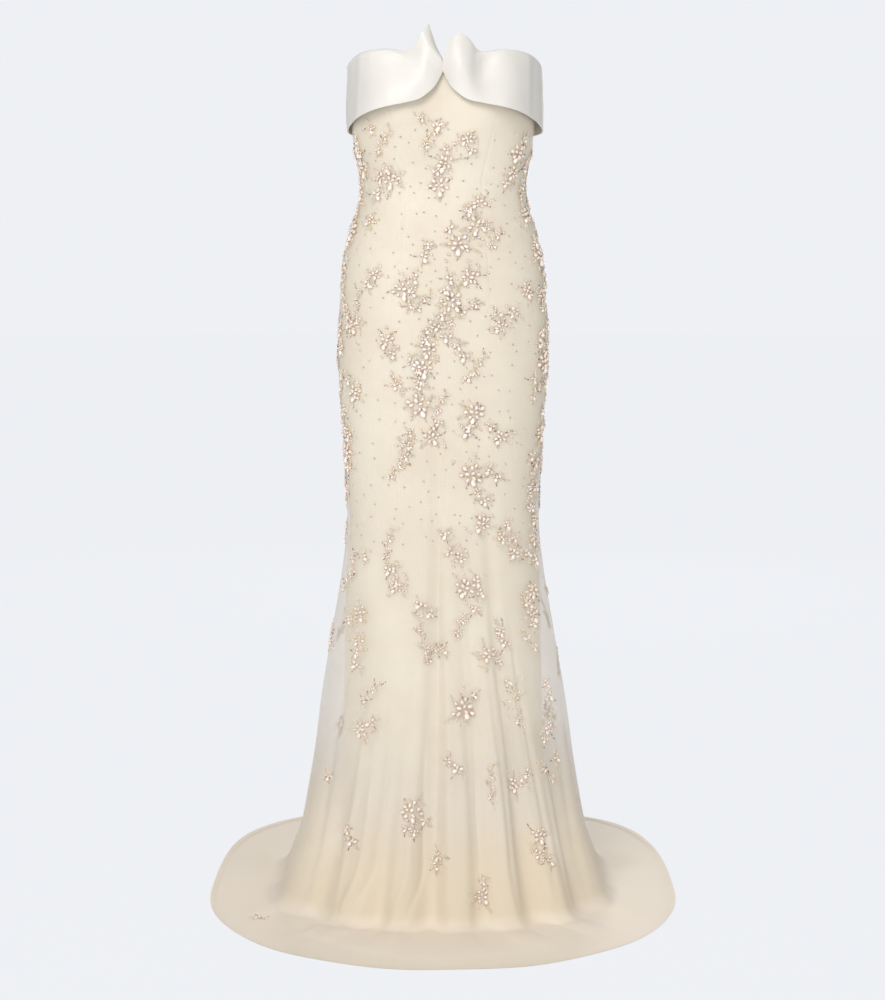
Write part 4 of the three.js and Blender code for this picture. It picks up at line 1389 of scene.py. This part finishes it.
def laid(spray):
    """Place, frame and size of each bead of a spray on the gown."""
    beads = SPRAY_KINDS[spray["kind"]](spray["size"] * SPRAY_GROWTH[spray["kind"]], spray["turn"])
    kinds = [bead[0] for bead in beads]
    x, y, point, long, wide, tall = np.array([bead[1:] for bead in beads], float).T
    column = (spray["angle"] + 180) / 360 * TULLE_COLUMNS
    nearest = int(round(column)) % TULLE_COLUMNS
    if "share" in spray:
        row = HANGING_ROWS + TURNING_ROWS - 1 + LYING_ROWS * spray["share"]
    else:
        row = np.interp(-spray["height"], -row_heights, np.arange(HANGING_ROWS))
    fall = np.interp(row, np.arange(len(fall_lengths)), fall_lengths[:, nearest])
    rows = np.interp(fall - y, fall_lengths[:, nearest], np.arange(len(fall_lengths)))
    here = between(tulle_face, np.array([column, column + 1.0]), np.array([row, row]))
    columns = column + x / max(np.linalg.norm(here[1] - here[0]), 0.5)
    centre = between(tulle_face, columns, rows)
    normal = between(tulle_out, columns, rows)
    normal /= np.linalg.norm(normal, axis=1, keepdims=True)
    across = between(tulle_face, columns + 0.5, rows) - between(tulle_face, columns - 0.5, rows)
    across -= normal * (across * normal).sum(axis=1, keepdims=True)
    across /= np.linalg.norm(across, axis=1, keepdims=True)
    upward = np.cross(normal, across)
    along = across * np.cos(point)[:, None] + upward * np.sin(point)[:, None]
    frames = np.stack([along, np.cross(normal, along), normal], axis=1)
    sizes = np.stack([long, wide, tall], axis=1)
    raised = 0.4 + 0.4 * tall + np.array([0.5 if kind in ("petal", "bright") else 0 for kind in kinds])
    return kinds, centre + normal * raised[:, None], frames, sizes


HIP_HEIGHT = 820
strung = {}
for spray in sprays:
    side = "front" if abs(turn_between(spray["angle"], 0)) < 90 else "back"
    side = ("bodice_" if spray.get("height", 0) > HIP_HEIGHT else "skirt_") + side
    kinds, centres, frames, sizes = laid(spray)
    for kind, centre, axes, size in zip(kinds, centres, frames, sizes):
        strung.setdefault((kind, side), []).append((centre, axes, size))
print({f"{kind} {side}": len(beads) for (kind, side), beads in strung.items()})

# %% The shapes of the beads


def from_lowest(face):
    """The same face, listed from its lowest corner."""
    first = face.index(min(face))
    return face[first:] + face[:first]


def bead_shape(kind):
    """Corners and triangles of a bead one unit long, sorted to be in the same order on each run."""
    bm = bmesh.new()
    if kind in ("petal", "bright", "setting"):
        around, rounds = {"petal": (6, 4), "bright": (8, 5), "setting": (6, 3)}[kind]
        bmesh.ops.create_uvsphere(bm, u_segments=around, v_segments=rounds, radius=0.5)
        for vertex in bm.verts:
            vertex.co = Vector((vertex.co.z, vertex.co.y * (1 + 0.5 * vertex.co.z), -vertex.co.x))
    elif kind in ("seed", "gold"):
        bmesh.ops.create_uvsphere(bm, u_segments=5, v_segments=2, radius=0.5)
    elif kind == "sequin":
        bmesh.ops.create_cone(
            bm, cap_ends=False, cap_tris=True, segments=7, radius1=0.5, radius2=0.12, depth=0.12
        )
        bmesh.ops.holes_fill(bm, edges=bm.edges, sides=7)
    else:
        bmesh.ops.create_icosphere(bm, subdivisions=1, radius=0.5)
    bmesh.ops.recalc_face_normals(bm, faces=bm.faces)
    bmesh.ops.triangulate(bm, faces=bm.faces)
    bm.verts.ensure_lookup_table()
    corners = np.array([vertex.co for vertex in bm.verts])
    faces = [[vertex.index for vertex in face.verts] for face in bm.faces]
    bm.free()
    return corners, np.array(sorted(from_lowest(face) for face in faces))


def join_beads(name, kind, beads, material, rounded=True):
    """Copies of one bead joined into one piece; the number of its triangles."""
    corners, faces = bead_shape(kind)
    centres, axes, sizes = (np.array(values) for values in zip(*beads))
    points = (corners[None] * sizes[:, None]) @ axes + centres[:, None]
    triangles = faces[None] + len(corners) * np.arange(len(beads))[:, None, None]
    mesh = bpy.data.meshes.new(name)
    mesh.from_pydata((points.reshape(-1, 3) * MM).tolist(), [], triangles.reshape(-1, 3).tolist())
    mesh.shade_smooth() if rounded else mesh.shade_flat()
    made = bpy.data.objects.new(name, mesh)
    scene.collection.objects.link(made)
    mesh.materials.append(material)
    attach(made, "body")
    print(f"{name}: {len(beads)} beads, {len(mesh.polygons)} triangles")
    return len(mesh.polygons)


# %% [markdown]
# ## Finishes of the beads
# The petals are moulded glass with a pearl lustre: pale, faintly pink, smooth under a clear coat,
# each in a setting of gilt thread. The bright drops are foil-backed crystal. The leaves are
# champagne glass with a few gilt beads, the dark rows are smoky quartz glass, and the loose
# sequins are a clear grey.

# %% Bead materials
TONE_CELL = 0.003


def bead_material(name, low, high, roughness, metallic, coat):
    """A smooth finish whose tone differs from one bead to the next."""
    material, tree = new_material(name)
    place = add_node(tree, "ShaderNodeTexCoord").outputs["Object"]
    cells = add_node(tree, "ShaderNodeTexVoronoi", {"Vector": place, "Scale": 1 / TONE_CELL})
    shade = add_node(tree, "ShaderNodeSeparateXYZ", {"Vector": cells.outputs["Color"]})
    finish_material(
        tree,
        {
            "Base Color": ramp(tree, shade.outputs["X"], (0.0, low), (1.0, high)),
            "Roughness": roughness,
            "Metallic": metallic,
            "Coat Weight": coat,
            "Coat Roughness": 0.08,
        },
    )
    return material


BEAD_FINISHES = {
    "petal": bead_material("pearl_glass", "EDD9D2", "FBF0EA", 0.17, 0.0, 0.7),
    "bright": bead_material("foiled_crystal", "F3E8DE", "FBF4EC", 0.10, 0.0, 0.9),
    "seed": bead_material("champagne_glass", "F4E8D2", "FFFBF2", 0.24, 0.0, 0.5),
    "gold": bead_material("gilt_glass", "D2A968", "F0D49C", 0.30, 0.15, 0.2),
    "setting": bead_material("gilt_thread", "E0C08C", "F3DEB4", 0.5, 0.0, 0.0),
    "smoky": bead_material("smoky_quartz_glass", "5C4C40", "A08C78", 0.18, 0.1, 0.5),
    "sequin": bead_material("smoked_clear_sequin", "868473", "A5A28C", 0.5, 0.0, 0.0),
}
print(len(BEAD_FINISHES), "bead finishes")

# %% String them all
total = sum(
    join_beads(f"{kind}_beads_{side}", kind, beads, BEAD_FINISHES[kind], rounded=kind != "smoky")
    for (kind, side), beads in sorted(strung.items())
)
print("the sprays have", total, "triangles")

# %% [markdown]
# ## Loose sequins
# Between the sprays lie single smoky sequins, two and a half millimetres across and about three
# centimetres apart. A jittered grid gives that even but unruly scatter.

# %% Scatter the sequins
SEQUIN = np.array([2.5, 2.5, 2.0])
SEQUIN_GRID = {"top": 1236, "foot": 560, "down": 26, "around": 12}
NECKLINE = {"centre": 1228, "slope": 60 / 150}

loose = []
for row_height in range(SEQUIN_GRID["top"], SEQUIN_GRID["foot"], -SEQUIN_GRID["down"]):
    for angle in range(-180, 180, SEQUIN_GRID["around"]):
        shift = 6 if row_height % 52 else 0
        column = (angle + rng.uniform(-5, 5) + shift + 180) / 360 * TULLE_COLUMNS
        row = np.interp(-(row_height + rng.uniform(-11, 11)), -row_heights, np.arange(HANGING_ROWS))
        spot = (np.array([column]), np.array([row]))
        place, out = between(tulle_face, *spot)[0], between(tulle_out, *spot)[0]
        if place[2] + WAIST_HEIGHT > NECKLINE["centre"] - NECKLINE["slope"] * abs(place[0]):
            continue
        across = np.cross((0, 0, 1), out)
        across /= np.linalg.norm(across)
        loose.append((place + 0.5 * out, np.array([across, np.cross(out, across), out]), SEQUIN))
join_beads("loose_sequins", "sequin", loose, BEAD_FINISHES["sequin"], rounded=False)

# %% [markdown]
# ## Hem tape and zip
# The tulle's edge is bound with a narrow tape of the same net, which reads as a slightly denser
# rim. The zip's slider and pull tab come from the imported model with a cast, lacquered finish.

# %% Bind the hem and finish the zip
TAPE_START, TAPE_RISE = 0.90, 2.5
tape_rows = [("lie", share) for share in np.linspace(TAPE_START, 1.0, 4)]
tape_face = sheet_points(TULLE, tulle_angles, tape_rows)
tape_face[..., 2] += TAPE_RISE
hem_tape = cloth_panel("hem_tape", tape_face, tulle_cloth)
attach(hem_tape, "body")

CAST_GRAIN = 0.0012
zip_metal, tree = new_material("lacquered_zinc_casting")
place = add_node(tree, "ShaderNodeTexCoord").outputs["Object"]
cast = add_node(tree, "ShaderNodeTexNoise", {"Vector": place, "Scale": 1 / CAST_GRAIN}).outputs["Fac"]
finish_material(
    tree,
    {
        "Base Color": ramp(tree, cast, (0.0, "CFC3A8"), (1.0, "E2D8C0")),
        "Metallic": 0.5,
        "Roughness": 0.32,
        "Normal": relief(tree, cast, strength=0.1, distance=0.0001),
    },
)
for node in ("zip_slider", "zip_pull"):
    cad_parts[node].data.materials.clear()
    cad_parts[node].data.materials.append(zip_metal)
print("zip slider and pull tab finished")
